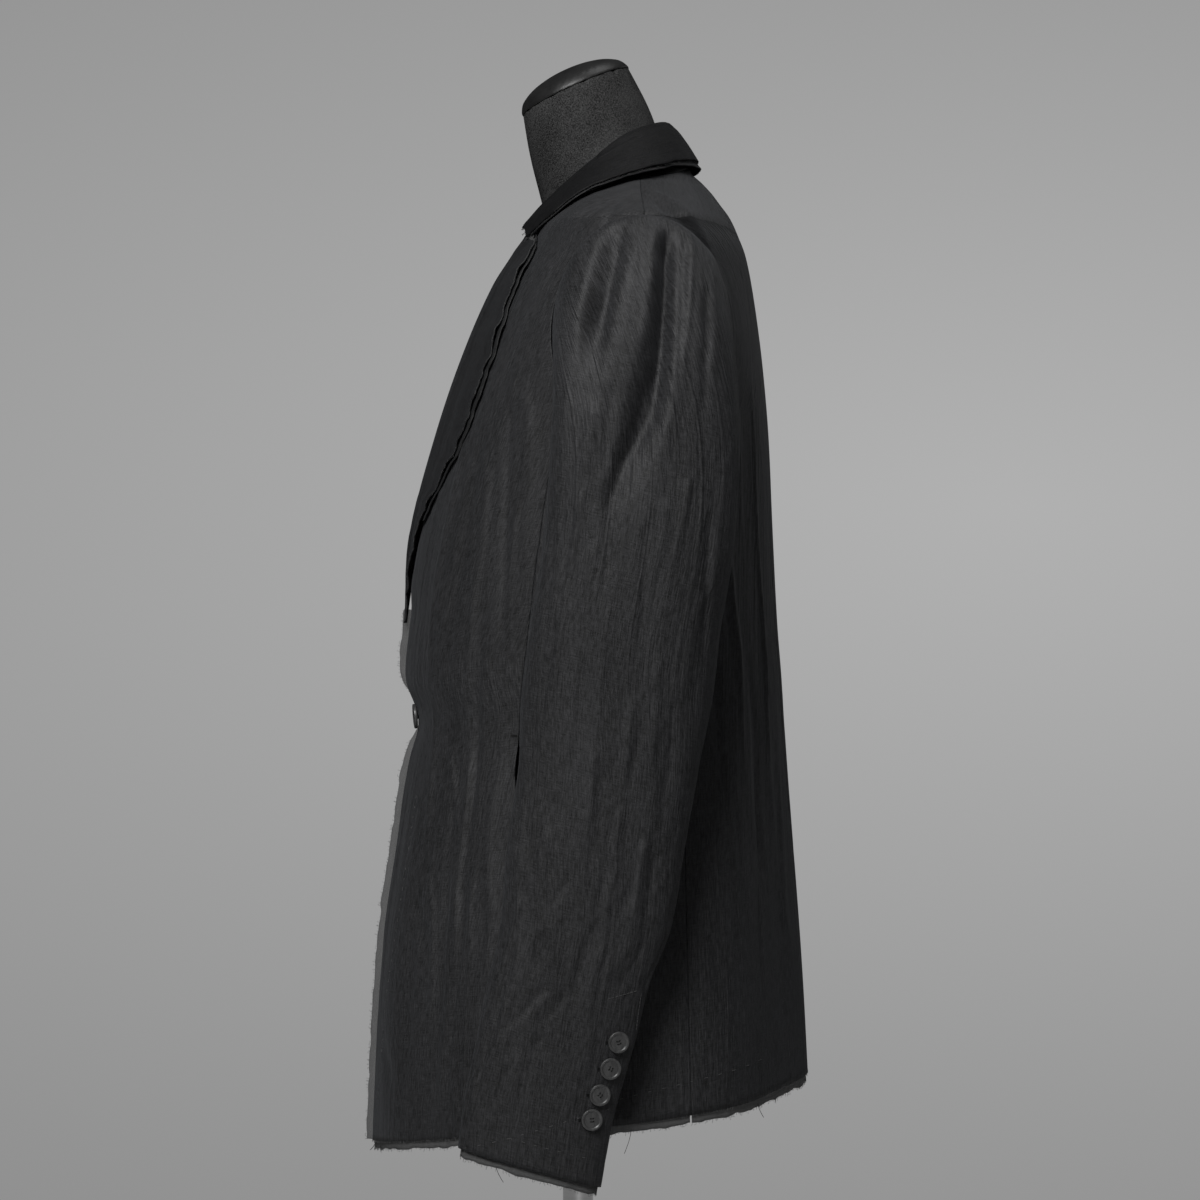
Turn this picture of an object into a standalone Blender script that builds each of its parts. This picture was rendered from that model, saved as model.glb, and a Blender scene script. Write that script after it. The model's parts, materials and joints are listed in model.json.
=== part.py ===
"""Tailored jacket on a limbless dress form with a pole stand.

Metres, +Z up. The wearer faces -Y and the wearer's left is +X. The origin is the centre of the
stand's underside. The jacket is a set of cut panels: every panel is a grid laid on the body or
sleeve surface that the tables below describe, with a Solidify wall. Left pieces are laid first,
and right pieces are the same pieces laid on the other side of the centre plane.
"""
import math
from collections import namedtuple

import bmesh
import bpy
from mathutils import Vector

# ---------------------------------------------------------------- driving dimensions
WALL = 0.0012                 # jacket cloth
SHEER_WALL = 0.0008           # sheer layer that shows past the raw edges
SEAM_HALF_GAP = 0.00016       # half of the gap between two panels
HEM_FRONT = 0.430             # height of the hem at the centre front
HEM_BACK = 0.491              # height of the hem at the centre back
UNDERARM_JOIN = 1.020         # height where the side panel's seams reach the armhole
SHOULDER_TIP = 1.166          # height of the shoulder seam at the armhole
NECK_POINT = 1.209            # height of the shoulder seam at the neck
NECK_BACK = 1.2225            # height of the back neckline at the centre back
BUTTON_HEIGHT = 0.775         # front button
PINCH = 0.010                 # the fronts are drawn in this far at the button
PINCH_SHARE = 0.040           # middle of that hollow, as a share of the half girth
PINCH_WIDTH = 0.100
PINCH_LENGTH = 0.021
BREAK_HEIGHT = 0.842          # where the lapel starts to roll
NOTCH_HEIGHT = 1.166          # where the lapel ends and the collar starts
ROLL_BREAK_X = -0.004         # roll line, from the break ...
ROLL_NECK_X = 0.058           # ... to the side of the neck
ROLL_NECK_HEIGHT = 1.183
ROLL_TOP_X = 0.083            # inner edge of the front where it meets the shoulder seam
FRONT_EDGE_X = -0.012         # edge of each front, past the centre line
LAP = 0.0022                  # the left front lies this far out, the right one as far in
LAP_START, LAP_END = 0.03, 0.12   # shares of the half girth over which the lap fades
POCKET_HEIGHT = 0.739         # in-seam pocket in the front seam of the side panel
POCKET_LENGTH = 0.017
POCKET_OPEN = 0.0016
SHARE_PROBE = 0.002           # step in share, and
PROBE = 0.004                 # step in share or height, for the slopes of the body surface
SHEER_PROUD = 0.0065          # sheer layer past the cloth edge
SHEER_TUCK = 0.012            # sheer layer behind the cloth edge
SHEER_DROP = 0.0019           # from a panel's outer face to the sheer layer's outer face

ARMHOLE_Y = 0.050
ARMHOLE_Z = 1.0755
ARMHOLE_HALF_Y = 0.070
ARMHOLE_HALF_Z = SHOULDER_TIP - ARMHOLE_Z
ARMHOLE_INSIDE = 0.0011       # sleeve seam inside the armhole's edge ...
ARMHOLE_OUT = 0.0006          # ... and off the body

FORM_INSET = 0.0027           # dress form inside the jacket's outer face at the shoulders
CHEST_ROOM = 0.004            # more room between form and jacket at the chest ...
WAIST_ROOM = 0.011            # ... and at the waist
FORM_BOTTOM = 0.500
POLE_RADIUS = 0.0125
SOCKET_RADIUS = 0.030         # round fitting on the base that holds the pole
SOCKET_TOP = 0.045
BASE_RADIUS = 0.175
BASE_THICK = 0.010
STAND_BEVEL = 0.003
TOUCH_GAP = 0.0003
MERGE = 0.00001               # points nearer than this are one
SEAT_GAP = 0.0007             # between the collar and what it is sewn to

BUTTON_FRONT_RADIUS = 0.010
BUTTON_CUFF_RADIUS = 0.0082
BUTTON_THICK = 0.0028
CUFF_LIFT = 0.0005            # a cuff button's face above the cloth
BUTTON_LIFT = 0.0038          # thread shank between the front button and the cloth
BUTTON_COLUMN = 1.45          # place of the front button on the left front's grid
BUTTON_ROW = 7

# Horizontal sections of the jacket's outer face.
Section = namedtuple("Section", "z front back half widest square")
BODY = (
    Section(0.400, -0.169, 0.190, 0.212, 0.010, 2.30),
    Section(0.500, -0.166, 0.184, 0.208, 0.010, 2.30),
    Section(0.600, -0.1590, 0.179, 0.201, 0.010, 2.30),
    Section(0.700, -0.1450, 0.173, 0.190, 0.012, 2.30),
    Section(0.775, -0.1362, 0.168, 0.182, 0.014, 2.30),
    Section(0.810, -0.1420, 0.166, 0.182, 0.014, 2.30),
    Section(0.850, -0.1385, 0.163, 0.183, 0.015, 2.30),
    Section(0.930, -0.1255, 0.159, 0.186, 0.018, 2.25),
    Section(1.000, -0.1070, 0.156, 0.191, 0.022, 2.20),
    Section(1.060, -0.0875, 0.151, 0.198, 0.030, 2.15),
    Section(1.120, -0.0625, 0.143, 0.204, 0.042, 2.10),
    Section(1.150, -0.0445, 0.137, 0.206, 0.050, 2.05),
    Section(1.166, -0.038, 0.131, 0.205, 0.052, 2.00),
    Section(1.180, -0.028, 0.125, 0.170, 0.051, 2.00),
    Section(1.192, -0.016, 0.117, 0.135, 0.050, 2.00),
    Section(1.202, 0.006, 0.110, 0.104, 0.050, 2.00),
    Section(1.209, 0.024, 0.104, 0.084, 0.050, 2.00),
    Section(1.2225, 0.028, 0.092, 0.076, 0.048, 2.00),
)

# Seams of the side panel, by their distance from the front or back of the body.
Seam = namedtuple("Seam", "z front_y back_y")
SIDE_SEAMS = (
    Seam(0.400, -0.050, 0.089),
    Seam(0.550, -0.049, 0.086),
    Seam(0.700, -0.047, 0.083),
    Seam(0.780, -0.044, 0.084),
    Seam(0.860, -0.036, 0.088),
    Seam(0.930, -0.027, 0.096),
    Seam(0.980, -0.019, 0.103),
    Seam(1.020, -0.0053, 0.1053),
)

# Outer edge of the lapel: how far it reaches from the roll line.
Lapel = namedtuple("Lapel", "z reach")
LAPEL = (
    Lapel(0.850, 0.006),
    Lapel(0.900, 0.012),
    Lapel(0.925, 0.028),
    Lapel(0.950, 0.052),
    Lapel(0.975, 0.074),
    Lapel(1.005, 0.088),
    Lapel(1.060, 0.086),
    Lapel(1.120, 0.068),
    Lapel(1.166, 0.052),
)

# Soft folds of the body: centre, half length, half width (as a share of the half girth), depth.
Fold = namedtuple("Fold", "z share length width depth")
BODY_FOLDS = (
    Fold(0.560, 0.150, 0.160, 0.060, 0.0050),
    Fold(0.530, 0.280, 0.190, 0.055, -0.0045),
    Fold(0.540, 0.690, 0.180, 0.060, 0.0045),
    Fold(0.580, 0.820, 0.200, 0.060, -0.0045),
    Fold(0.520, 0.930, 0.160, 0.060, 0.0040),
    Fold(0.960, 0.800, 0.120, 0.070, -0.0040),
    Fold(0.880, 0.230, 0.110, 0.060, 0.0030),
)

# Rings of the left sleeve from the shoulder down. A ring runs from its inner point to its outer
# point and from its front to its back.
Ring = namedtuple("Ring", "inner_x inner_z outer_x outer_z front back")
SLEEVE = (
    Ring(0.2010, 0.984, 0.2330, 1.1580, -0.0180, 0.1190),
    Ring(0.2040, 0.981, 0.2570, 1.1230, -0.0180, 0.1210),
    Ring(0.2055, 0.978, 0.2680, 1.0750, -0.0180, 0.1230),
    Ring(0.2060, 0.972, 0.2725, 1.0220, -0.0190, 0.1240),
    Ring(0.2050, 0.955, 0.2735, 0.9680, -0.0210, 0.1230),
    Ring(0.2010, 0.905, 0.2725, 0.9080, -0.0260, 0.1190),
    Ring(0.1960, 0.850, 0.2690, 0.8500, -0.0355, 0.1090),
    Ring(0.1950, 0.795, 0.2650, 0.7950, -0.0420, 0.1025),
    Ring(0.2000, 0.740, 0.2630, 0.7400, -0.0450, 0.0920),
    Ring(0.2060, 0.680, 0.2620, 0.6800, -0.0535, 0.0818),
    Ring(0.2110, 0.620, 0.2610, 0.6200, -0.0580, 0.0705),
    Ring(0.2150, 0.580, 0.2600, 0.5800, -0.0670, 0.0550),
    Ring(0.2180, 0.540, 0.2590, 0.5400, -0.0750, 0.0440),
    Ring(0.2205, 0.498, 0.2580, 0.4980, -0.0840, 0.0290),
    Ring(0.2220, 0.457, 0.2570, 0.4570, -0.0895, 0.0188),
)
SLEEVE_SQUARE = 2.2
SLEEVE_HEM_SLOPE = 0.030      # the cuff hangs this much lower at the back,
SLEEVE_SLOPE_RINGS = 3        # a slope that builds up over the last rings
SLEEVE_FRONT_SEAM = 0.535     # turns of the ring where the two seams lie; 0 is the back edge,
SLEEVE_BACK_SEAM = 0.965      # 0.25 the outer side, 0.5 the front edge

# Collar stations from the centre back (0) to the notch (5): fold and outer edge.
Station = namedtuple("Station", "fold edge")
COLLAR = (
    Station((0.000, 0.0705, 1.2600), (0.000, 0.0985, 1.2290)),
    Station((0.035, 0.0640, 1.2565), (0.048, 0.0880, 1.2260)),
    Station((0.060, 0.0430, 1.2460), (0.084, 0.0660, 1.2180)),
    Station((0.071, 0.0200, 1.2280), (0.104, 0.0370, 1.2080)),
    Station((0.0705, -0.0040, 1.2090), (0.1127, 0.0050, 1.1945)),
    Station((0.0625, -0.0270, 1.1890), (0.1050, -0.0240, 1.1735)),
)
SHOULDER_STATION = 3          # station at the shoulder seam
COLLAR_END_HEIGHT = 1.191     # where the collar's neck seam ends on the front

# Front buttons and cuff buttons by height; the cuff ones run up the back of each cuff.
CuffButton = namedtuple("CuffButton", "y z")
CUFF_BUTTONS = (
    CuffButton(0.0315, 0.5380),
    CuffButton(0.0255, 0.5180),
    CuffButton(0.0175, 0.4980),
    CuffButton(0.0115, 0.4790),
)

# Rings of the dress form above the shoulders: front and back ends of each tilted ring.
NeckRing = namedtuple("NeckRing", "front_y front_z back_y back_z half")
NECK = (
    NeckRing(-0.0270, 1.1850, 0.0790, 1.2230, 0.0640),
    NeckRing(-0.0320, 1.2050, 0.0700, 1.2420, 0.0570),
    NeckRing(-0.0400, 1.2350, 0.0590, 1.2740, 0.0520),
    NeckRing(-0.0451, 1.2679, 0.0415, 1.3064, 0.0480),
)
CAP_HEIGHT = 0.0175

Finish = namedtuple("Finish", "color rough metal")
FINISHES = {
    "cloth": Finish((0.028, 0.028, 0.031), 0.62, 0.0),
    "sheer": Finish((0.070, 0.070, 0.074), 0.80, 0.0),
    "form_cloth": Finish((0.035, 0.035, 0.035), 0.85, 0.0),
    "cap": Finish((0.012, 0.012, 0.013), 0.20, 0.0),
    "chrome": Finish((0.55, 0.56, 0.57), 0.16, 1.0),
    "button": Finish((0.040, 0.038, 0.036), 0.40, 0.0),
}


# ---------------------------------------------------------------- tables and curves
def clear_scene():
    for old in list(bpy.data.objects):
        bpy.data.objects.remove(old, do_unlink=True)


def read(rows, key, column):
    """Value of a named column between the rows of a table whose first column rises."""
    keys = [row[0] for row in rows]
    values = [getattr(row, column) for row in rows]
    if key <= keys[0]:
        return values[0]
    if key >= keys[-1]:
        return values[-1]
    i = max(n for n in range(len(keys) - 1) if keys[n] <= key)
    step = keys[i + 1] - keys[i]
    share = (key - keys[i]) / step
    a, b = tangent(keys, values, i), tangent(keys, values, i + 1)
    s2, s3 = share ** 2, share ** 3
    return ((2 * s3 - 3 * s2 + 1) * values[i] + (s3 - 2 * s2 + share) * step * a
            + (3 * s2 - 2 * s3) * values[i + 1] + (s3 - s2) * step * b)


def tangent(keys, values, i):
    """Slope at row i that never overshoots the rows beside it."""
    if i == 0 or i == len(keys) - 1:
        return 0.0
    before = (values[i] - values[i - 1]) / (keys[i] - keys[i - 1])
    after = (values[i + 1] - values[i]) / (keys[i + 1] - keys[i])
    if before * after <= 0:
        return 0.0
    return 2 * before * after / (before + after)


def power(value, exponent):
    return math.copysign(abs(value) ** exponent, value)


def blend(a, b, share):
    return a + (b - a) * share


def ease(low, high, value):
    share = min(1.0, max(0.0, (value - low) / (high - low)))
    return share * share * (3 - 2 * share)


def bell(distance):
    return math.exp(-distance * distance)


# ---------------------------------------------------------------- body surface
def section(z):
    return Section(z, *[read(BODY, z, name) for name in Section._fields[1:]])


def fold_depth(z, t, mirror):
    """Soft folds, the same on both sides, and the pinch at the button on the left of centre."""
    depth = sum(f.depth * bell((z - f.z) / f.length) * bell((t - f.share) / f.width)
                for f in BODY_FOLDS)
    from_button = (-t if mirror else t) - PINCH_SHARE
    pinch = PINCH * bell((z - BUTTON_HEIGHT) / PINCH_LENGTH) * bell(from_button / PINCH_WIDTH)
    return depth - pinch


def body_base(z, t):
    """Point of the smooth body: t runs from the centre front (0) over the side to the back (1)."""
    s = section(z)
    angle = math.pi * (t - 0.5)
    c, n = math.cos(angle), math.sin(angle)
    depth = s.widest - s.front if n < 0 else s.back - s.widest
    x = s.half * power(c, 2 / s.square)
    return Vector((x, s.widest + depth * power(n, 2 / s.square), z))


def body_normal(z, t):
    along = body_base(z, t + PROBE) - body_base(z, t - PROBE)
    up = body_base(z + PROBE, t) - body_base(z - PROBE, t)
    return along.cross(up).normalized()


def body_point(z, t, out=0.0, mirror=False):
    """Point of the jacket's outer face, moved outwards by out."""
    return body_base(z, t) + body_normal(z, t) * (fold_depth(z, t, mirror) + out)


def share_of_x(z, x):
    """Where on the front the body passes the given x."""
    s = section(z)
    return math.asin(power(min(0.999, max(-0.999, x / s.half)), s.square / 2)) / math.pi


def share_of_y(z, y):
    s = section(z)
    depth = s.widest - s.front if y < s.widest else s.back - s.widest
    n = min(1.0, max(-1.0, (y - s.widest) / depth))
    return math.asin(power(n, s.square / 2)) / math.pi + 0.5


def share_step(z, t, distance):
    """Share of the girth that covers a distance along the section at t."""
    span = body_base(z, t + SHARE_PROBE) - body_base(z, t - SHARE_PROBE)
    return distance * 2 * SHARE_PROBE / span.length


# ---------------------------------------------------------------- edges of the panels
def hem(t):
    """Height of the hem, which rises quickest at the front."""
    return blend(HEM_BACK, HEM_FRONT, max(0.0, 1 - t) ** 1.35)


def roll_x(z):
    rise = (z - BREAK_HEIGHT) / (ROLL_NECK_HEIGHT - BREAK_HEIGHT)
    line = blend(ROLL_BREAK_X, ROLL_NECK_X, max(0.0, rise))
    neck = blend(ROLL_NECK_X, ROLL_TOP_X, ease(ROLL_NECK_HEIGHT, NECK_POINT, z))
    return neck if z > ROLL_NECK_HEIGHT else line


def front_edge_share(z):
    edge = blend(FRONT_EDGE_X, roll_x(z), ease(BREAK_HEIGHT - 0.03, BREAK_HEIGHT + 0.01, z))
    return share_of_x(z, edge)


def armhole_y(z, side):
    rise = min(1.0, abs(z - ARMHOLE_Z) / ARMHOLE_HALF_Z)
    return ARMHOLE_Y + side * ARMHOLE_HALF_Y * math.sqrt(1 - rise * rise)


def slit(z):
    """Half opening of the in-seam pocket."""
    return POCKET_OPEN * bell((z - POCKET_HEIGHT) / POCKET_LENGTH) ** 2


def front_seam_share(z):
    if z <= UNDERARM_JOIN:
        return share_of_y(z, read(SIDE_SEAMS, z, "front_y"))
    if z < SHOULDER_TIP:
        return min(0.5, share_of_y(z, armhole_y(z, -1)))
    return 0.5


def back_seam_share(z):
    if z <= UNDERARM_JOIN:
        return share_of_y(z, read(SIDE_SEAMS, z, "back_y"))
    if z < SHOULDER_TIP:
        return max(0.5, share_of_y(z, armhole_y(z, 1)))
    return 0.5


def underarm(t):
    """Height of the side panel's top edge."""
    left, right = front_seam_share(UNDERARM_JOIN), back_seam_share(UNDERARM_JOIN)
    across = min(1.0, max(0.0, (t - left) / (right - left)))
    dip = UNDERARM_JOIN - (ARMHOLE_Z - ARMHOLE_HALF_Z)
    return UNDERARM_JOIN - dip * math.sin(math.pi * across) ** 0.7


# Rows of the panels: shares from the hem to the armhole join, then heights, then shares to the
# neck.
LOW_ROWS = (0, 0.08, 0.18, 0.28, 0.38, 0.48, 0.545, 0.585, 0.625, 0.70, 0.78, 0.86, 0.93, 1)
ARM_ROWS = (1.050, 1.085, 1.115, 1.138, 1.153, 1.162, 1.166)
NECK_ROWS = (0.25, 0.5, 0.75, 1.0)


def row_count(top):
    return {"join": len(LOW_ROWS), "neck": len(LOW_ROWS) + len(ARM_ROWS) + len(NECK_ROWS)}[top]


def row_height(row, t, join=UNDERARM_JOIN, neck=NECK_POINT):
    """Height of a panel row at the girth share t."""
    if row < len(LOW_ROWS):
        return blend(hem(t), join, LOW_ROWS[row])
    row -= len(LOW_ROWS)
    if row < len(ARM_ROWS):
        return ARM_ROWS[row]
    return blend(SHOULDER_TIP, neck, NECK_ROWS[row - len(ARM_ROWS)])


def gap_share(z, t, wide=0.0):
    return share_step(z, t, SEAM_HALF_GAP + wide)


def lap_out(t, mirror):
    """The left front lies over the right one, near the centre only."""
    lap = -LAP if mirror else LAP
    return lap * (1 - ease(LAP_START, LAP_END, t))


# ---------------------------------------------------------------- meshes
def material(name):
    finish = FINISHES[name]
    mat = bpy.data.materials.get(name) or bpy.data.materials.new(name)
    mat.use_nodes = True
    shader = mat.node_tree.nodes["Principled BSDF"]
    shader.inputs["Base Color"].default_value = (*finish.color, 1.0)
    shader.inputs["Roughness"].default_value = finish.rough
    shader.inputs["Metallic"].default_value = finish.metal
    return mat


def add_object(name, bm, finish, mirror=False):
    """Object from a mesh, laid on the wearer's right when mirrored."""
    if mirror:
        for vert in bm.verts:
            vert.co.x = -vert.co.x
        bmesh.ops.reverse_faces(bm, faces=bm.faces)
    mesh = bpy.data.meshes.new(name)
    bm.to_mesh(mesh)
    bm.free()
    mesh.materials.append(material(finish))
    mesh.shade_smooth()
    obj = bpy.data.objects.new(name, mesh)
    PARTS.objects.link(obj)
    return obj


def sheet(name, columns, rows, place, wall, finish="cloth", mirror=False):
    """Cloth piece: a grid whose points are laid by place(column share, row), with a wall."""
    bm = bmesh.new()
    bmesh.ops.create_grid(bm, x_segments=columns, y_segments=rows - 1, size=1.0)
    for vert in bm.verts:
        across = (vert.co.x + 1) / 2
        row = round((vert.co.y + 1) / 2 * (rows - 1))
        vert.co = place(across, row)
    obj = add_object(name, bm, finish, mirror)
    solid = obj.modifiers.new("wall", "SOLIDIFY")
    solid.thickness = wall
    solid.offset = -1
    return obj


def loft(name, rings, finish, mirror=False):
    """Closed body through rings of equal point counts, with flat ends."""
    bm = bmesh.new()
    loops = [[bm.verts.new(point) for point in ring] for ring in rings]
    count = len(loops[0])
    for low, high in zip(loops, loops[1:]):
        for i in range(count):
            bm.faces.new((low[i], low[(i + 1) % count], high[(i + 1) % count], high[i]))
    bm.faces.new(list(reversed(loops[0])))
    bm.faces.new(loops[-1])
    bmesh.ops.recalc_face_normals(bm, faces=bm.faces)
    return add_object(name, bm, finish, mirror)


# ---------------------------------------------------------------- jacket body
FRONT_COLUMNS = 9
SIDE_COLUMNS = 6
BACK_COLUMNS = 7


def front_share(across, z):
    right = front_seam_share(z)
    return blend(front_edge_share(z), right - gap_share(z, right, slit(z)), across)


def side_share(across, z):
    left, right = front_seam_share(z), back_seam_share(z)
    return blend(left + gap_share(z, left, slit(z)), right - gap_share(z, right), across)


def back_share(across, z):
    left = back_seam_share(z)
    return blend(left + gap_share(z, left), 1.0 - gap_share(z, 0.99), across)


def front_point(across, row, mirror):
    z = row_height(row, 0.2)
    for _ in range(3):
        t = front_share(across, z)
        z = row_height(row, max(0.0, t))
    return body_point(z, t, lap_out(t, mirror), mirror)


def side_point(across, row, mirror=False):
    z = row_height(row, 0.4)
    for _ in range(3):
        t = side_share(across, z)
        z = row_height(row, t, join=underarm(t) if 0 < across < 1 else UNDERARM_JOIN)
    return body_point(z, t)


def back_point(across, row, mirror=False):
    z = row_height(row, 0.8)
    for _ in range(3):
        t = back_share(across, z)
        neck = blend(NECK_POINT, NECK_BACK, ease(0.5, 1.0, t))
        z = row_height(row, t, neck=neck)
    return body_point(z, t)


# The panels of one side: the rule for their points, columns, and number of rows.
Panel = namedtuple("Panel", "name point columns rows")
PANELS = (
    Panel("front", front_point, FRONT_COLUMNS, row_count("neck")),
    Panel("side", side_point, SIDE_COLUMNS, row_count("join")),
    Panel("back", back_point, BACK_COLUMNS, row_count("neck")),
)


def make_panel(panel, side, mirror):
    def place(across, row):
        return panel.point(across, row, mirror)

    return sheet(f"{panel.name}_{side}", panel.columns, panel.rows, place, WALL, mirror=mirror)


def on_panel(panel, column, row, mirror, out=0.0):
    """Point on a panel's own facets, past their edges too, and moved outwards."""
    i = min(panel.columns - 1, max(0, math.floor(column)))
    j = min(panel.rows - 2, max(0, math.floor(row)))
    corners = [[panel.point((i + a) / panel.columns, j + b, mirror) for a in (0, 1)]
               for b in (0, 1)]
    low = corners[0][0].lerp(corners[0][1], column - i)
    high = corners[1][0].lerp(corners[1][1], column - i)
    along = corners[0][1] - corners[0][0] + corners[1][1] - corners[1][0]
    up = corners[1][0] - corners[0][0] + corners[1][1] - corners[0][1]
    return low.lerp(high, row - j) + along.cross(up).normalized() * out


# ---------------------------------------------------------------- lapels
LAPEL_ROWS = 13
LAPEL_START_LEFT = 0.010      # the lapel's foot above the break
LAPEL_START_RIGHT = 0.055     # the right one's foot lies under the left front
LAPEL_START_SHARE = 0.55      # how flat the roll is at the foot
LAPEL_START_LENGTH = 0.05
UNDER_LAPEL_START = 0.097     # second layer: foot above the break
UNDER_LAPEL_PROUD = 0.004     # past the lapel's edge
UNDER_LAPEL_TUCK = 0.016      # behind it
UNDER_LAPEL_INNER = 0.006     # never nearer to the roll line than this
UNDER_LAPEL_OUT = 0.0019      # off the front
UNDER_LAPEL_WALL = 0.001
# Section of the lapel: distance from the roll line, share of the reach, and height off the front.
LapelPoint = namedtuple("LapelPoint", "distance share out")
LAPEL_SECTION = (
    LapelPoint(-0.0014, 0.0, -0.0006),
    LapelPoint(-0.0040, 0.0, 0.0024),
    LapelPoint(-0.0030, 0.0, 0.0066),
    LapelPoint(0.0020, 0.0, 0.0086),
    LapelPoint(0.0010, 0.25, 0.0080),
    LapelPoint(0.0, 0.50, 0.0062),
    LapelPoint(0.0, 0.75, 0.0048),
    LapelPoint(0.0, 1.0, 0.0040),
)


def lapel_height(row, low):
    return blend(low, NOTCH_HEIGHT, row / (LAPEL_ROWS - 1))


def make_lapel(name, mirror):
    low = BREAK_HEIGHT + (LAPEL_START_RIGHT if mirror else LAPEL_START_LEFT)

    def place(across, row):
        z = lapel_height(row, low)
        point = LAPEL_SECTION[round(across * (len(LAPEL_SECTION) - 1))]
        x = roll_x(z) + point.distance + point.share * read(LAPEL, z, "reach")
        t = share_of_x(z, x)
        shrink = blend(LAPEL_START_SHARE, 1.0, ease(low, low + LAPEL_START_LENGTH, z))
        return body_point(z, t, lap_out(t, mirror) + point.out * shrink, mirror)

    return sheet(name, len(LAPEL_SECTION) - 1, LAPEL_ROWS, place, WALL, mirror=mirror)


def make_lapel_under(name, mirror):
    """Second raw edge that shows just outside the lapel's own."""
    low = BREAK_HEIGHT + UNDER_LAPEL_START

    def place(across, row):
        z = lapel_height(row, low) - UNDER_LAPEL_PROUD
        reach = read(LAPEL, z, "reach")
        inner = max(UNDER_LAPEL_INNER, reach - UNDER_LAPEL_TUCK)
        t = share_of_x(z, roll_x(z) + blend(inner, reach + UNDER_LAPEL_PROUD, across))
        return body_point(z, t, lap_out(t, mirror) + UNDER_LAPEL_OUT, mirror)

    return sheet(name, 2, LAPEL_ROWS, place, UNDER_LAPEL_WALL, mirror=mirror)


# ---------------------------------------------------------------- collar
COLLAR_ROWS = 21              # rows from one notch over the back to the other
COLLAR_FOLD_DROP = 0.004      # roundness of the fold
COLLAR_FOLD_LEAN = 0.001
COLLAR_FOLD_TOP = 0.003
COLLAR_FOLD_WIDTH = 0.0085
COLLAR_BULGE = 0.004          # halfway down the collar
UNDER_COLLAR_IN = 0.0022      # under layer inside the collar's edge, and below it
UNDER_COLLAR_DOWN = 0.0008
UNDER_COLLAR_PROUD_BACK = 0.0075    # under layer past the raw edge at the back ...
UNDER_COLLAR_PROUD_FRONT = 0.0035   # ... and towards the notch
UNDER_COLLAR_TUCK = 0.014


def station_curve(column, position):
    """Smooth curve through one point of each station; position 0 is the centre back."""
    points = [Vector(getattr(row, column)) for row in COLLAR]
    last = len(points) - 1
    i = min(int(position), last - 1)
    share = position - i
    a = mirrored(points[1]) if i == 0 else points[i - 1]
    d = points[i + 2] if i + 2 <= last else points[last] * 2 - points[last - 1]
    b, c = points[i], points[i + 1]
    return ((b * 2) + (c - a) * share + (a * 2 - b * 5 + c * 4 - d) * share ** 2
            + (b * 3 - a - c * 3 + d) * share ** 3) / 2


def mirrored(point):
    return Vector((-point.x, point.y, point.z))


def neck_seam(position):
    """Point where the collar is sewn on: the top of the back, then the front's inner edge."""
    if position <= SHOULDER_STATION:
        t = blend(1.0, 0.5, position / SHOULDER_STATION)
        z = blend(NECK_POINT, NECK_BACK, ease(0.5, 1.0, t))
        return body_point(z, t, -WALL) + Vector((0, 0, SEAT_GAP))
    share = (position - SHOULDER_STATION) / (len(COLLAR) - 1 - SHOULDER_STATION)
    z = blend(NECK_POINT, COLLAR_END_HEIGHT, share)
    t = front_edge_share(z)
    return body_point(z, t - share_step(z, t, WALL + SEAT_GAP)) + Vector((0, 0, SEAT_GAP))


def collar_section(position):
    """Points of the collar's section from the neck seam over the fold to the outer edge."""
    neck = neck_seam(position)
    fold = station_curve("fold", position)
    edge = station_curve("edge", position)
    outward = (edge - neck).normalized()
    outward.z = 0
    outward.normalize()
    up = Vector((0, 0, 1))
    return [
        neck,
        neck.lerp(fold, 0.5),
        fold - up * COLLAR_FOLD_DROP - outward * COLLAR_FOLD_LEAN,
        fold + outward * COLLAR_FOLD_TOP,
        fold - up * COLLAR_FOLD_DROP + outward * COLLAR_FOLD_WIDTH,
        fold.lerp(edge, 0.5) + outward * COLLAR_BULGE,
        edge,
    ]


def make_collar_upper():
    last = len(COLLAR) - 1

    def place(across, row):
        around = (row / (COLLAR_ROWS - 1)) * 2 - 1
        points = collar_section(abs(around) * last)
        point = points[-1 - round(across * (len(points) - 1))]
        return mirrored(point) if around > 0 else point

    return sheet("collar_upper", 6, COLLAR_ROWS, place, WALL)


def make_collar_under():
    """Second layer that shows past the collar's raw edge."""
    last = len(COLLAR) - 1

    def place(across, row):
        around = (row / (COLLAR_ROWS - 1)) * 2 - 1
        position = abs(around) * last
        fold = station_curve("fold", position)
        edge = station_curve("edge", position)
        down = (edge - fold).normalized()
        outward = Vector((down.x, down.y, 0)).normalized()
        base = edge - outward * UNDER_COLLAR_IN - Vector((0, 0, UNDER_COLLAR_DOWN))
        proud = blend(UNDER_COLLAR_PROUD_BACK, UNDER_COLLAR_PROUD_FRONT, ease(0, 2, position))
        point = base + down * blend(proud, -UNDER_COLLAR_TUCK, across)
        return mirrored(point) if around > 0 else point

    return sheet("collar_under", 2, COLLAR_ROWS, place, SHEER_WALL)


# ---------------------------------------------------------------- sleeves
SLEEVE_ROWS = len(SLEEVE) + 1


def ring_point(ring, turn, hem_slope=0.0):
    """Point of a sleeve ring; turn 0 is the back, 0.25 the outer side, 0.5 the front."""
    angle = 2 * math.pi * turn
    along = power(math.cos(angle), 2 / SLEEVE_SQUARE)
    across = power(math.sin(angle), 2 / SLEEVE_SQUARE)
    inner = Vector((ring.inner_x, 0, ring.inner_z))
    outer = Vector((ring.outer_x, 0, ring.outer_z))
    point = (inner + outer) / 2 + (outer - inner) / 2 * across
    point.y = (ring.front + ring.back) / 2 + (ring.back - ring.front) / 2 * along
    point.z -= hem_slope * (along + 1) / 2
    return point


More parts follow.
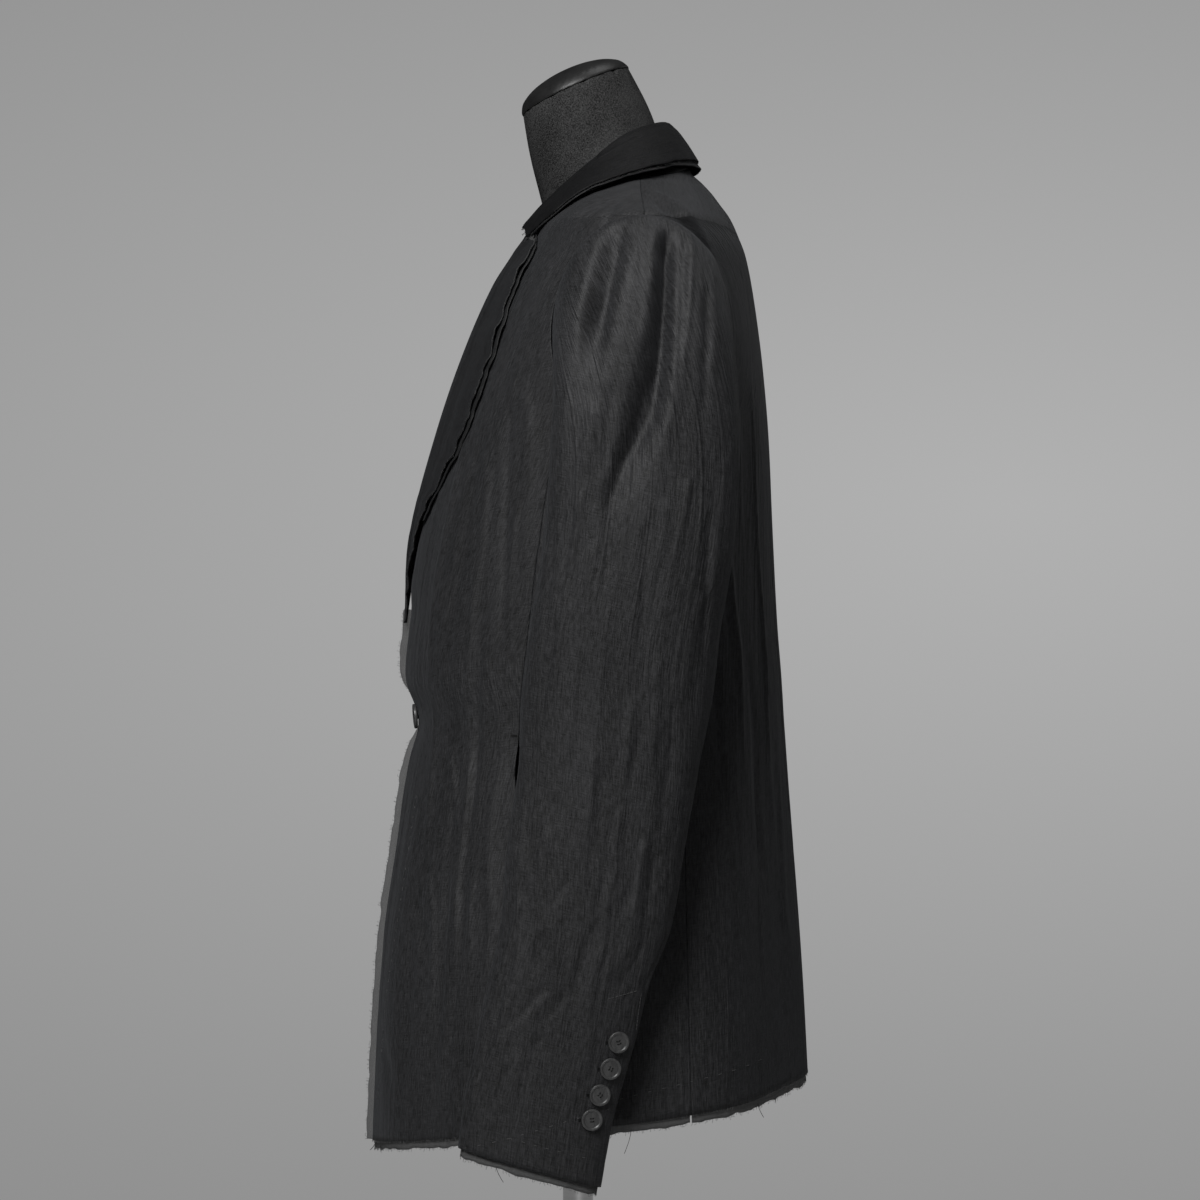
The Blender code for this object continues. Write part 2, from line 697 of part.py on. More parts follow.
def armhole_ring_point(turn):
    """Point of the sleeve's seam to the body."""
    angle = 2 * math.pi * turn
    y = ARMHOLE_Y + (ARMHOLE_HALF_Y - ARMHOLE_INSIDE) * math.cos(angle)
    z = ARMHOLE_Z + (ARMHOLE_HALF_Z - ARMHOLE_INSIDE) * math.sin(angle)
    return Vector((body_base(z, share_of_y(z, y)).x + ARMHOLE_OUT, y, z))


def sleeve_point(row, turn):
    """Point of the left sleeve: row 0 is the armhole, and the last row the cuff."""
    if row == 0:
        return armhole_ring_point(turn)
    last = len(SLEEVE)
    share = max(0.0, (row - last + SLEEVE_SLOPE_RINGS) / SLEEVE_SLOPE_RINGS)
    return ring_point(SLEEVE[row - 1], turn, SLEEVE_HEM_SLOPE * share ** 1.5)


def make_sleeve(name, start, end, columns, mirror):
    def place(across, row):
        turn = blend(end, start, across)
        return sleeve_point(SLEEVE_ROWS - 1 - row, turn)

    return sheet(name, columns, SLEEVE_ROWS, place, WALL, mirror=mirror)


SLEEVE_SEAM = 0.0036          # half of the gap at the sleeve's seams, in turns
TOP_SLEEVE_START = SLEEVE_BACK_SEAM - 1 + SLEEVE_SEAM
TOP_SLEEVE_END = SLEEVE_FRONT_SEAM - SLEEVE_SEAM
TOP_SLEEVE_COLUMNS = 12
UNDER_SLEEVE_COLUMNS = 7


def make_sleeves(side, mirror):
    make_sleeve("sleeve_top_" + side, TOP_SLEEVE_START, TOP_SLEEVE_END, TOP_SLEEVE_COLUMNS,
                mirror)
    make_sleeve("sleeve_under_" + side, SLEEVE_FRONT_SEAM + SLEEVE_SEAM,
                SLEEVE_BACK_SEAM - SLEEVE_SEAM, UNDER_SLEEVE_COLUMNS, mirror)


# ---------------------------------------------------------------- buttons
# Half section of a button with a raised rim, as shares of its radius and thickness.
Rim = namedtuple("Rim", "radius height")
BUTTON_PROFILE = (
    Rim(0.0, 0.0),
    Rim(0.80, 0.0),
    Rim(1.0, 0.35),
    Rim(1.0, 0.75),
    Rim(0.90, 1.0),
    Rim(0.78, 1.0),
    Rim(0.68, 0.72),
    Rim(0.0, 0.72),
)
BUTTON_STEPS = 20


def make_button(name, centre, normal, radius, mirror=False):
    """Round button, turned about its own axis."""
    bm = bmesh.new()
    verts = [bm.verts.new((rim.radius * radius, 0, rim.height * BUTTON_THICK))
             for rim in BUTTON_PROFILE]
    for a, b in zip(verts, verts[1:]):
        bm.edges.new((a, b))
    bmesh.ops.spin(bm, geom=bm.verts[:] + bm.edges[:], cent=(0, 0, 0), axis=(0, 0, 1),
                   angle=2 * math.pi, steps=BUTTON_STEPS, use_merge=True)
    bmesh.ops.remove_doubles(bm, verts=bm.verts, dist=MERGE)
    bmesh.ops.recalc_face_normals(bm, faces=bm.faces)
    turn = normal.to_track_quat("Z", "Y").to_matrix().to_4x4()
    bmesh.ops.transform(bm, matrix=turn, verts=bm.verts)
    bmesh.ops.translate(bm, vec=centre, verts=bm.verts)
    return add_object(name, bm, "button", mirror)


def make_buttons():
    front = PANELS[0]
    on = on_panel(front, BUTTON_COLUMN, BUTTON_ROW, False)
    beside = [(BUTTON_COLUMN, BUTTON_ROW + step) for step in (-0.5, 0.5)]
    up = sum((on_panel(front, *place, False, 1.0) - on_panel(front, *place, False)
              for place in beside), Vector()).normalized()
    make_button("button_front", on + up * BUTTON_LIFT, up, BUTTON_FRONT_RADIUS)
    for side, mirror in (("left", False), ("right", True)):
        for number, row in enumerate(CUFF_BUTTONS, start=1):
            centre, normal = cuff_place(row)
            make_button(f"button_cuff_{side}_{number}", centre + normal * CUFF_LIFT, normal,
                        BUTTON_CUFF_RADIUS, mirror)


def cuff_place(button):
    """Point and outward direction on the facets of the left top sleeve."""
    step = (TOP_SLEEVE_END - TOP_SLEEVE_START) / TOP_SLEEVE_COLUMNS
    found = None
    for row in range(SLEEVE_ROWS - 5, SLEEVE_ROWS - 1):
        for column in range(TOP_SLEEVE_COLUMNS):
            turn = TOP_SLEEVE_START + column * step
            a, b = sleeve_point(row, turn), sleeve_point(row, turn + step)
            c, d = sleeve_point(row + 1, turn), sleeve_point(row + 1, turn + step)
            down = (a.z - button.z) / (a.z - c.z)
            rear, front = a.lerp(c, down), b.lerp(d, down)
            inside = 0 <= down <= 1 and front.y <= button.y <= rear.y
            if inside and found is None:
                across = (rear.y - button.y) / (rear.y - front.y)
                normal = (b - a + d - c).cross(a - c + b - d).normalized() * -1
                found = rear.lerp(front, across), normal
    return found


# ---------------------------------------------------------------- sheer layer
# Places on a panel's grid, in its columns and rows.
SHEER_FRONT_ROWS = (0.30, 1, 2, 3, 4, 5, 6, 7, 8, 9, 9.4)
SHEER_FRONT_COLUMNS = (-0.38, 0, 0.8)
SHEER_HEM_ROWS = (-0.14, 0.26)
SHEER_HEM_END = 0.02
SHEER_CUFF_COLUMNS = 24
SHEER_CUFF_END = 0.006        # the cuff's strip stops this far from the sleeve's back edge
SHEER_CUFF_DROP = 0.0025      # inside the sleeve's outer face
SHEER_CUFF_LEAN = 0.3         # how much of the way inwards runs along the cuff's length


def make_sheer_front(name, mirror):
    """Strip behind the front edge that shows past it."""
    def place(across, row):
        column = SHEER_FRONT_COLUMNS[round(across * 2)]
        return on_panel(PANELS[0], column, SHEER_FRONT_ROWS[row], mirror, -SHEER_DROP)

    return sheet(name, 2, len(SHEER_FRONT_ROWS), place, SHEER_WALL, "sheer", mirror)


def make_sheer_hem(panel, side, mirror):
    """Strip behind a panel's hem that shows below it."""
    first = SHEER_FRONT_COLUMNS[0] if panel.name == "front" else SHEER_HEM_END

    def place(across, row):
        column = min(panel.columns - SHEER_HEM_END, across * panel.columns) if across else first
        return on_panel(panel, column, SHEER_HEM_ROWS[row], mirror, -SHEER_DROP)

    name = f"sheer_hem_{panel.name}_{side}"
    return sheet(name, panel.columns, 2, place, SHEER_WALL, "sheer", mirror)


def make_sheer_cuff(name, mirror):
    """Ring inside the cuff that shows below its hem, open along the back."""
    def place(across, row):
        turn = blend(1 - SHEER_CUFF_END, SHEER_CUFF_END, across)
        low, high = sleeve_point(SLEEVE_ROWS - 1, turn), sleeve_point(SLEEVE_ROWS - 2, turn)
        up = (high - low).normalized()
        centre = (SLEEVE[-1].inner_x + SLEEVE[-1].outer_x) / 2
        middle = (SLEEVE[-1].front + SLEEVE[-1].back) / 2
        inward = Vector((centre - low.x, (middle - low.y) * SHEER_CUFF_LEAN, 0)).normalized()
        return low + up * (-SHEER_PROUD, SHEER_TUCK)[row] + inward * SHEER_CUFF_DROP

    return sheet(name, SHEER_CUFF_COLUMNS, 2, place, SHEER_WALL, "sheer", mirror)


# ---------------------------------------------------------------- dress form and stand
FORM_POINTS = 40
FORM_HEIGHTS = (FORM_BOTTOM, 0.560, 0.630, 0.700, 0.780, 0.850, 0.910, 0.960, 1.000, 1.040,
                1.080, 1.110, 1.135, 1.153, 1.166, 1.177, 1.187)
CAP_STEPS = (0.0, 0.25, 0.5, 0.7, 0.85, 0.96)   # shares of the quarter turn up the dome
CAP_SCALE = 1.01
CAP_RIM = 0.002
CHEST_HEIGHTS = (1.16, 1.05)  # where the room at the chest starts and is full
WAIST_HEIGHTS = (0.95, 0.80)


def form_ring(z):
    """Ring of the form inside the jacket; it takes more room below the shoulders."""
    room = CHEST_ROOM * ease(*CHEST_HEIGHTS, z) + WAIST_ROOM * ease(*WAIST_HEIGHTS, z)
    ring = []
    for i in range(FORM_POINTS):
        turn = i / FORM_POINTS * 2
        t = turn if turn <= 1 else 2 - turn
        point = body_base(z, t) - body_normal(z, t) * (FORM_INSET + room)
        point.z = z if z < ARMHOLE_Z else point.z
        ring.append(point if turn <= 1 else mirrored(point))
    return ring


def neck_ring(row, scale=1.0, lift=0.0):
    front = Vector((0, row.front_y, row.front_z))
    back = Vector((0, row.back_y, row.back_z))
    centre = (front + back) / 2
    half = (back - front) / 2
    normal = Vector((1, 0, 0)).cross(half).normalized()
    ring = []
    for i in range(FORM_POINTS):
        angle = math.pi * (i / FORM_POINTS * 2 - 0.5)
        side = Vector((row.half * math.cos(angle), 0, 0))
        ring.append(centre + (side + half * math.sin(angle)) * scale + normal * lift)
    return ring


def make_form():
    rings = [form_ring(z) for z in FORM_HEIGHTS]
    rings += [neck_ring(row) for row in NECK]
    loft("form_body", rings, "form_cloth")


def make_cap():
    """Domed cap on the neck."""
    rings = [neck_ring(NECK[-1], CAP_SCALE, TOUCH_GAP)]
    for step in CAP_STEPS:
        angle = step * math.pi / 2
        rings.append(neck_ring(NECK[-1], CAP_SCALE * math.cos(angle),
                               TOUCH_GAP + CAP_RIM + CAP_HEIGHT * math.sin(angle)))
    loft("neck_cap", rings, "cap")


def cylinder(name, radius, low, high, segments, bevel=0.0):
    bpy.ops.mesh.primitive_cylinder_add(vertices=segments, radius=radius, depth=high - low,
                                        location=(0, 0, (low + high) / 2))
    obj = bpy.context.object
    obj.name = name
    obj.data.name = name
    obj.data.materials.append(material("chrome"))
    for owner in list(obj.users_collection):
        owner.objects.unlink(obj)
    PARTS.objects.link(obj)
    if bevel:
        edge = obj.modifiers.new("edge", "BEVEL")
        edge.width = bevel
        edge.segments = 2
        edge.limit_method = "ANGLE"
    obj.data.shade_smooth()
    obj.data.set_sharp_from_angle(angle=math.radians(40))
    return obj


def make_stand():
    cylinder("base", BASE_RADIUS, 0.0, BASE_THICK, 64, STAND_BEVEL)
    cylinder("pole_socket", SOCKET_RADIUS, BASE_THICK + TOUCH_GAP, SOCKET_TOP, 32, STAND_BEVEL)
    cylinder("pole", POLE_RADIUS, SOCKET_TOP + TOUCH_GAP, FORM_BOTTOM - TOUCH_GAP, 32)


# ---------------------------------------------------------------- the whole object
def main():
    make_stand()
    make_form()
    make_cap()
    for side, mirror in (("left", False), ("right", True)):
        for panel in PANELS:
            make_panel(panel, side, mirror)
            make_sheer_hem(panel, side, mirror)
        make_lapel("lapel_" + side, mirror)
        make_lapel_under("lapel_under_" + side, mirror)
        make_sleeves(side, mirror)
        make_sheer_front("sheer_front_" + side, mirror)
        make_sheer_cuff("sheer_cuff_" + side, mirror)
    make_collar_upper()
    make_collar_under()
    make_buttons()


clear_scene()
PARTS = bpy.data.collections.new("tailored_jacket")
bpy.context.scene.collection.children.link(PARTS)
main()
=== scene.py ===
# %% [markdown]
# # A tailored jacket on a dress form
# This lesson dresses a finished CAD model of a jacket in real cloth. The CAD model fixes every size
# and place; here each plain cloth solid gives way to a thin shell with folds, raw edges and a weave.
# Everything is in metres with +Z up. The wearer faces -Y, and the wearer's left side is +X.

import json
import math
from collections import namedtuple

import bmesh
import bpy
import numpy as np
from mathutils import Matrix, Vector
from mathutils.bvhtree import BVHTree

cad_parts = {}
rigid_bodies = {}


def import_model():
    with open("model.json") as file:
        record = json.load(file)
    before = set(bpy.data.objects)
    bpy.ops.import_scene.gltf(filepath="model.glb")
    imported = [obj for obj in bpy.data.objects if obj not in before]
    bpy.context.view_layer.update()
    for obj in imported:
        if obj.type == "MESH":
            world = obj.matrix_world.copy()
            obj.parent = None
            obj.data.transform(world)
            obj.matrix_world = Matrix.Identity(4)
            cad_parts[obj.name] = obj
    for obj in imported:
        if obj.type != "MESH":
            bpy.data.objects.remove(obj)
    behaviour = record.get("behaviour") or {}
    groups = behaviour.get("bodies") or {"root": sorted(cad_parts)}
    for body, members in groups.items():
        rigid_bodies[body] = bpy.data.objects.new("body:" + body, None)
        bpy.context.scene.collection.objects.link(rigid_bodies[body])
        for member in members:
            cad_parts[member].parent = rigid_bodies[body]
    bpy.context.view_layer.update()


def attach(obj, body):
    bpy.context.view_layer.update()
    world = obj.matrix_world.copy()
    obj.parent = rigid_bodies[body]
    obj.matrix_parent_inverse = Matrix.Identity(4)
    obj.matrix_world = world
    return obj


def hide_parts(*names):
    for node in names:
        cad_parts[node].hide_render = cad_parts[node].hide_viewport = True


SIDES = {"left": 1, "right": -1}     # the wearer's sides, and the way that +X points on each

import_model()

# %% [markdown]
# ## Camera
# The picture is a level side view of the wearer's left. A long lens from a few metres away keeps
# the two sides of the jacket at nearly the same scale, as in a studio picture of a garment. The
# distance and the width of the view on the centre plane decide the lens.

# %% Camera
CAMERA_DISTANCE = 3.1
VIEW_WIDTH = 0.984            # width of the picture on the plane x = 0
VIEW_Y = 0.018
VIEW_Z = 0.871
SENSOR = 0.036


def add_object(name, data):
    """New object around a mesh, curve, camera or light, in the scene."""
    thing = bpy.data.objects.new(name, data)
    bpy.context.scene.collection.objects.link(thing)
    return thing


camera = bpy.data.cameras.new("camera")
camera.sensor_width = SENSOR * 1000
camera.lens = SENSOR * 1000 * CAMERA_DISTANCE / VIEW_WIDTH
camera.clip_end = 50
camera_object = add_object("camera", camera)
camera_object.location = (CAMERA_DISTANCE, VIEW_Y, VIEW_Z)
camera_object.rotation_euler = (math.pi / 2, 0, math.pi / 2)
bpy.context.scene.camera = camera_object
print("lens in mm:", round(camera.lens, 1))

# %% [markdown]
# ## Materials from nodes
# A node tree is easier to read as a few short calls. `Nodes` adds one node at a time, and it links
# whatever is a socket and sets whatever is a value. `Material` is the same with a shader at its end.

# %% Node helper
class Nodes:
    """Adds nodes to one node tree."""

    def __init__(self, tree):
        self.tree = tree

    def add(self, kind, settings=None, **inputs):
        node = self.tree.nodes.new("ShaderNode" + kind)
        for key, value in (settings or {}).items():
            setattr(node, key, value)
        for key, value in inputs.items():
            self.set(node, key.replace("_", " "), value)
        return node

    def set(self, node, socket_name, value):
        socket = node.inputs[socket_name]
        if isinstance(value, bpy.types.NodeSocket):
            self.tree.links.new(value, socket)
        else:
            socket.default_value = value

    def ramp(self, factor, stops, interpolation="LINEAR"):
        node = self.add("ValToRGB", Fac=factor)
        ramp = node.color_ramp
        ramp.interpolation = interpolation
        while len(ramp.elements) < len(stops):
            ramp.elements.new(0.5)
        for element, (place, color) in zip(ramp.elements, stops):
            element.position = place
            element.color = (*color, 1)
        return node.outputs["Color"]

    def math(self, operation, a, b=0.0):
        node = self.add("Math", {"operation": operation})
        self.set(node, 0, a)
        self.set(node, 1, b)
        return node.outputs[0]

    def weighed(self, a, a_share, b, b_share):
        """Sum of two sockets, each times its share."""
        return self.math("ADD", self.math("MULTIPLY", a, a_share), self.math("MULTIPLY", b, b_share))


class Material(Nodes):
    """Node tree of a new material."""

    def __init__(self, name):
        self.material = bpy.data.materials.new(name)
        self.material.use_nodes = True
        super().__init__(self.material.node_tree)
        self.shader = self.tree.nodes["Principled BSDF"]

    def surface(self, **inputs):
        for key, value in inputs.items():
            self.set(self.shader, key.replace("_", " "), value)
        return self.material


def grey(value, blue=1.0):
    return (value, value, value * blue)


# %% [markdown]
# ## The jacket cloth
# The cloth is a black blend of silk and linen, washed so that it crinkles. Its warp runs down each
# piece, so the fine crinkles and the thick slub threads run that way too. The pieces carry a UV map
# in metres, cut along the grain, and the material stretches its noises along that map: long thin
# ones for slubs and crinkles, and two fine stripes for the plain weave itself.

# %% Cloth materials
WEAVE_YARNS = 620             # stripes of the weave's pattern in a metre, each way
SHEER_YARNS = 900
WEAVE_RELIEF = 0.00042        # heights of the bumps at their strongest
CRINKLE_RELIEF = 0.0018
SHEER_RELIEF = 0.0002


def stretched_noise(nodes, uv, across, along, detail=2.0, roughness=0.5):
    """Noise with that many waves a metre across and along the grain."""
    mapping = nodes.add("Mapping", Vector=uv, Scale=(across, along, 1.0))
    noise = nodes.add("TexNoise", Vector=mapping.outputs["Vector"], Scale=1.0, Detail=detail,
                      Roughness=roughness)
    return noise.outputs["Fac"]


def stripes(nodes, uv, across, along):
    mapping = nodes.add("Mapping", Vector=uv, Scale=(across, along, 1.0))
    wave = nodes.add("TexWave", {"wave_profile": "SIN"}, Vector=mapping.outputs["Vector"],
                     Scale=1.0, Distortion=0.6, Detail=1.0)
    return wave.outputs["Fac"]


def cloth_material(name, dark, light, crinkle, sheen, specular=0.42):
    nodes = Material(name)
    uv = nodes.add("UVMap", {"uv_map": "grain"}).outputs["UV"]
    warp_slub = stretched_noise(nodes, uv, 900, 110, 3.0, 0.65)
    weft_slub = stretched_noise(nodes, uv, 140, 900, 3.0, 0.65)
    crinkles = stretched_noise(nodes, uv, 300, 14, 3.0, 0.6)
    crumple = stretched_noise(nodes, uv, 90, 30, 4.0, 0.6)
    clouds = stretched_noise(nodes, uv, 30, 5, 4.0, 0.6)
    warp = stripes(nodes, uv, WEAVE_YARNS, 0)
    weft = stripes(nodes, uv, 0, WEAVE_YARNS)
    slubs = nodes.weighed(warp_slub, 1.25, weft_slub, 0.75)
    weave = nodes.math("MULTIPLY", nodes.math("ADD", warp, weft), 0.10)
    tone = nodes.math("SUBTRACT", nodes.weighed(slubs, 0.70, clouds, 0.30), 0.42)
    color = nodes.ramp(tone, ((0.27, dark), (0.60, light)))
    fine = nodes.add("Bump", Strength=0.9, Distance=WEAVE_RELIEF,
                     Height=nodes.math("ADD", nodes.math("MULTIPLY", slubs, 0.9), weave))
    # Thin pressed lines run where a long slow noise crosses its middle value.
    drift = nodes.math("SUBTRACT", stretched_noise(nodes, uv, 36, 2.6, 1.0, 0.4), 0.5)
    pressed = nodes.math("MULTIPLY", nodes.math("ABSOLUTE", drift), 26.0)
    pressed = nodes.math("MAXIMUM", nodes.math("SUBTRACT", 1.0, pressed), 0.0)
    coarse_height = nodes.math("ADD", crinkles, nodes.math("MULTIPLY", crumple, 0.5))
    coarse_height = nodes.math("ADD", coarse_height, nodes.math("MULTIPLY", pressed, 0.40))
    coarse = nodes.add("Bump", Strength=crinkle, Distance=CRINKLE_RELIEF, Height=coarse_height,
                       Normal=fine.outputs["Normal"])
    return nodes.surface(Base_Color=color, Roughness=0.60, Specular_IOR_Level=specular,
                         Sheen_Weight=sheen, Sheen_Roughness=0.5,
                         Sheen_Tint=(0.80, 0.84, 0.90, 1.0), Normal=coarse.outputs["Normal"])


def sheer_material(name, alpha):
    """Thin open organza: threads lighter than the black cloth."""
    nodes = Material(name)
    uv = nodes.add("UVMap", {"uv_map": "grain"}).outputs["UV"]
    net = nodes.math("ADD", stripes(nodes, uv, SHEER_YARNS, 0), stripes(nodes, uv, 0, SHEER_YARNS))
    uneven = stretched_noise(nodes, uv, 300, 60, 2.0)
    tone = nodes.weighed(net, 0.3, uneven, 0.6)
    color = nodes.ramp(tone, ((0.1, grey(0.050)), (0.9, grey(0.125))))
    bump = nodes.add("Bump", Strength=0.4, Distance=SHEER_RELIEF, Height=tone)
    return nodes.surface(Base_Color=color, Roughness=0.7, Specular_IOR_Level=0.25, Alpha=alpha,
                         Normal=bump.outputs["Normal"])


JACKET = cloth_material("jacket_cloth", grey(0.002, 1.05), grey(0.030, 1.07), 0.60, 0.05)
# The lapels and the under collar take a darker copy of the jacket cloth. Its darker tone is painted
# shade for how the light falls on them, not a different cloth.
SHADED_FACING = cloth_material("facing_cloth", grey(0.002, 1.05), grey(0.014, 1.08), 0.35, 0.03)
SHEER = sheer_material("sheer_cloth", 0.82)
SHEER_FRONT = sheer_material("sheer_front_cloth", 0.62)
print("cloth materials:", JACKET.name, SHEER.name)

# %% [markdown]
# ## Smooth curves through short tables
# Each shape of the jacket is a short table with a row for each height. A curve through one column
# must not swing past its rows, or the cloth would show waves that nobody cut, so the slopes are
# the harmonic mean of the two sides. Numpy reads a curve at thousands of heights at once.

# %% Curves
def hermite(s, low, high, low_slope, high_slope, step):
    """Cubic from low to high over one step, at a share s of it."""
    ends = (2 * s ** 3 - 3 * s ** 2 + 1) * low + (3 * s ** 2 - 2 * s ** 3) * high
    ways = (s ** 3 - 2 * s ** 2 + s) * low_slope + (s ** 3 - s ** 2) * high_slope
    return ends + ways * step


def curve(table, column):
    """Function that reads one column of a table smoothly by its first column."""
    keys = np.array([row[0] for row in table], float)
    values = np.array([getattr(row, column) for row in table], float)
    steps = np.diff(keys)
    slopes = np.diff(values) / steps
    turning = slopes[:-1] * slopes[1:] <= 0
    total = np.where(turning, 1.0, slopes[:-1] + slopes[1:])
    tangents = np.zeros(len(keys))
    tangents[1:-1] = np.where(turning, 0.0, 2 * slopes[:-1] * slopes[1:] / total)

    def at(key):
        key = np.clip(key, keys[0], keys[-1])
        i = np.clip(np.searchsorted(keys, key, side="right") - 1, 0, len(steps) - 1)
        s = (key - keys[i]) / steps[i]
        return hermite(s, values[i], values[i + 1], tangents[i], tangents[i + 1], steps[i])

    return at


def blend(a, b, share):
    return a + (b - a) * share


def ease(low, high, value):
    share = np.clip((value - low) / (high - low), 0, 1)
    return share * share * (3 - 2 * share)


def bell(distance):
    return np.exp(-distance * distance)


def power(value, exponent):
    return np.sign(value) * np.abs(value) ** exponent


def points(x, y, z):
    return np.stack(np.broadcast_arrays(x, y, z), axis=-1).astype(float)


def unit(vectors):
    return vectors / np.maximum(np.linalg.norm(vectors, axis=-1, keepdims=True), 1e-12)


def way_along(places):
    """Length of a line of points up to each of them."""
    return np.concatenate([[0], np.cumsum(np.linalg.norm(np.diff(places, axis=0), axis=1))])


# %% [markdown]
# ## The body of the jacket
# The body is a stack of rounded sections. A place on it is given by its height and by a share of
# the half girth that runs from the centre front (0) over the side (0.5) to the centre back (1).
# The same tables shape the CAD solids, so the new cloth lies on its solid's own form.

# %% Body tables
HEM_FRONT = 0.430
HEM_BACK = 0.491
HEM_POWER = 1.35
UNDERARM_JOIN = 1.020
SHOULDER_TIP = 1.166
NECK_POINT = 1.209
NECK_BACK = 1.2225
BUTTON_HEIGHT = 0.775
BREAK_HEIGHT = 0.842
ROLL_NECK_HEIGHT = 1.183
ROLL_BREAK_X = -0.004
ROLL_NECK_X = 0.058
ROLL_TOP_X = 0.083
FRONT_EDGE_X = -0.012
ROLL_BELOW = 0.03             # the straight edge turns into the roll line round the break
ROLL_ABOVE = 0.01
LAP = 0.0022
ARMHOLE_Y = 0.050
ARMHOLE_Z = 1.0755
ARMHOLE_HALF_Y = 0.070
ARMHOLE_HALF_Z = SHOULDER_TIP - ARMHOLE_Z
HALF_GIRTH = 0.60             # about: from the centre front to the centre back
WALL = 0.0012
SEAM_HALF_GAP = 0.00016

Section = namedtuple("Section", "z front back half widest square")
BODY = (
    Section(0.400, -0.1690, 0.190, 0.212, 0.010, 2.30),
    Section(0.500, -0.1660, 0.184, 0.208, 0.010, 2.30),
    Section(0.600, -0.1590, 0.179, 0.201, 0.010, 2.30),
    Section(0.700, -0.1450, 0.173, 0.190, 0.012, 2.30),
    Section(0.775, -0.1362, 0.168, 0.182, 0.014, 2.30),
    Section(0.810, -0.1420, 0.166, 0.182, 0.014, 2.30),
    Section(0.850, -0.1385, 0.163, 0.183, 0.015, 2.30),
    Section(0.930, -0.1255, 0.159, 0.186, 0.018, 2.25),
    Section(1.000, -0.1070, 0.156, 0.191, 0.022, 2.20),
    Section(1.060, -0.0875, 0.151, 0.198, 0.030, 2.15),
    Section(1.120, -0.0625, 0.143, 0.204, 0.042, 2.10),
    Section(1.150, -0.0445, 0.137, 0.206, 0.050, 2.05),
    Section(1.166, -0.0380, 0.131, 0.205, 0.052, 2.00),
    Section(1.180, -0.0280, 0.125, 0.170, 0.051, 2.00),
    Section(1.192, -0.0160, 0.117, 0.135, 0.050, 2.00),
    Section(1.202, 0.0060, 0.110, 0.104, 0.050, 2.00),
    Section(1.209, 0.0240, 0.104, 0.084, 0.050, 2.00),
    Section(1.2225, 0.0280, 0.092, 0.076, 0.048, 2.00),
)
SECTION = {name: curve(BODY, name) for name in Section._fields[1:]}


def section(z):
    """The body's section at heights z."""
    return Section(z, *(at(z) for at in SECTION.values()))


Seam = namedtuple("Seam", "z front_y back_y")
SIDE_SEAMS = (
    Seam(0.400, -0.050, 0.089),
    Seam(0.550, -0.049, 0.086),
    Seam(0.700, -0.047, 0.083),
    Seam(0.780, -0.044, 0.084),
    Seam(0.860, -0.036, 0.088),
    Seam(0.930, -0.027, 0.096),
    Seam(0.980, -0.019, 0.103),
    Seam(1.020, -0.0053, 0.1053),
)
FRONT_SEAM_Y = curve(SIDE_SEAMS, "front_y")
BACK_SEAM_Y = curve(SIDE_SEAMS, "back_y")

# Soft folds of the CAD solids, and the hollow where the button draws the fronts in.
Fold = namedtuple("Fold", "z share length width depth")
BODY_FOLDS = (
    Fold(0.560, 0.150, 0.160, 0.060, 0.0050),
    Fold(0.530, 0.280, 0.190, 0.055, -0.0045),
    Fold(0.540, 0.690, 0.180, 0.060, 0.0045),
    Fold(0.580, 0.820, 0.200, 0.060, -0.0045),
    Fold(0.520, 0.930, 0.160, 0.060, 0.0040),
    Fold(0.960, 0.800, 0.120, 0.070, -0.0040),
    Fold(0.880, 0.230, 0.110, 0.060, 0.0030),
)
PINCH = Fold(BUTTON_HEIGHT, 0.040, 0.021, 0.100, -0.010)
print("body sections:", len(BODY))


# %% Body surface
PROBE = 0.004
SHARE_PROBE = 0.002


def body_base(z, t):
    """Points of the smooth body at heights z and girth shares t."""
    angle = np.pi * (t - 0.5)
    c = np.cos(angle)
    n = np.sin(angle)
    s = section(z)
    depth = np.where(n < 0, s.widest - s.front, s.back - s.widest)
    return points(s.half * power(c, 2 / s.square), s.widest + depth * power(n, 2 / s.square), z)


def body_normal(z, t):
    along = body_base(z, t + PROBE) - body_base(z, t - PROBE)
    up = body_base(z + PROBE, t) - body_base(z - PROBE, t)
    return unit(np.cross(along, up))


def fold_depth(z, t, side):
    depth = sum(f.depth * bell((z - f.z) / f.length) * bell((t - f.share) / f.width)
                for f in BODY_FOLDS)
    from_pinch = side * t - PINCH.share
    return depth + PINCH.depth * bell((z - PINCH.z) / PINCH.length) * bell(from_pinch / PINCH.width)


def body_point(z, t, out=0.0, side=1):
    """Points of the jacket's outer face, moved out; side is 1 on the left and -1 on the right."""
    height = np.asarray(fold_depth(z, t, side) + out)[..., None]
    return body_base(z, t) + body_normal(z, t) * height


def share_of_x(z, x):
    inside = np.clip(x / SECTION["half"](z), -0.999, 0.999)
    return np.arcsin(power(inside, SECTION["square"](z) / 2)) / np.pi


def share_of_y(z, y):
    s = section(z)
    depth = np.where(y < s.widest, s.widest - s.front, s.back - s.widest)
    inside = np.clip((y - s.widest) / depth, -1, 1)
    return np.arcsin(power(inside, s.square / 2)) / np.pi + 0.5


print("waist section:", body_base(0.775, np.array([0.0, 0.5, 1.0])).round(3).tolist())


# %% [markdown]
# ## Cutting the panels
# A tailor cuts a front, a side and a back panel for each half of the body. Here a panel is a grid
# of points: its columns share out the width between two seams, and its rows climb from the hem to
# the shoulder. The rows are spaced by the length of the cloth, so that they stay even.

# %% Edges of the panels
def hem(t):
    return blend(HEM_BACK, HEM_FRONT, np.maximum(0, 1 - t) ** HEM_POWER)


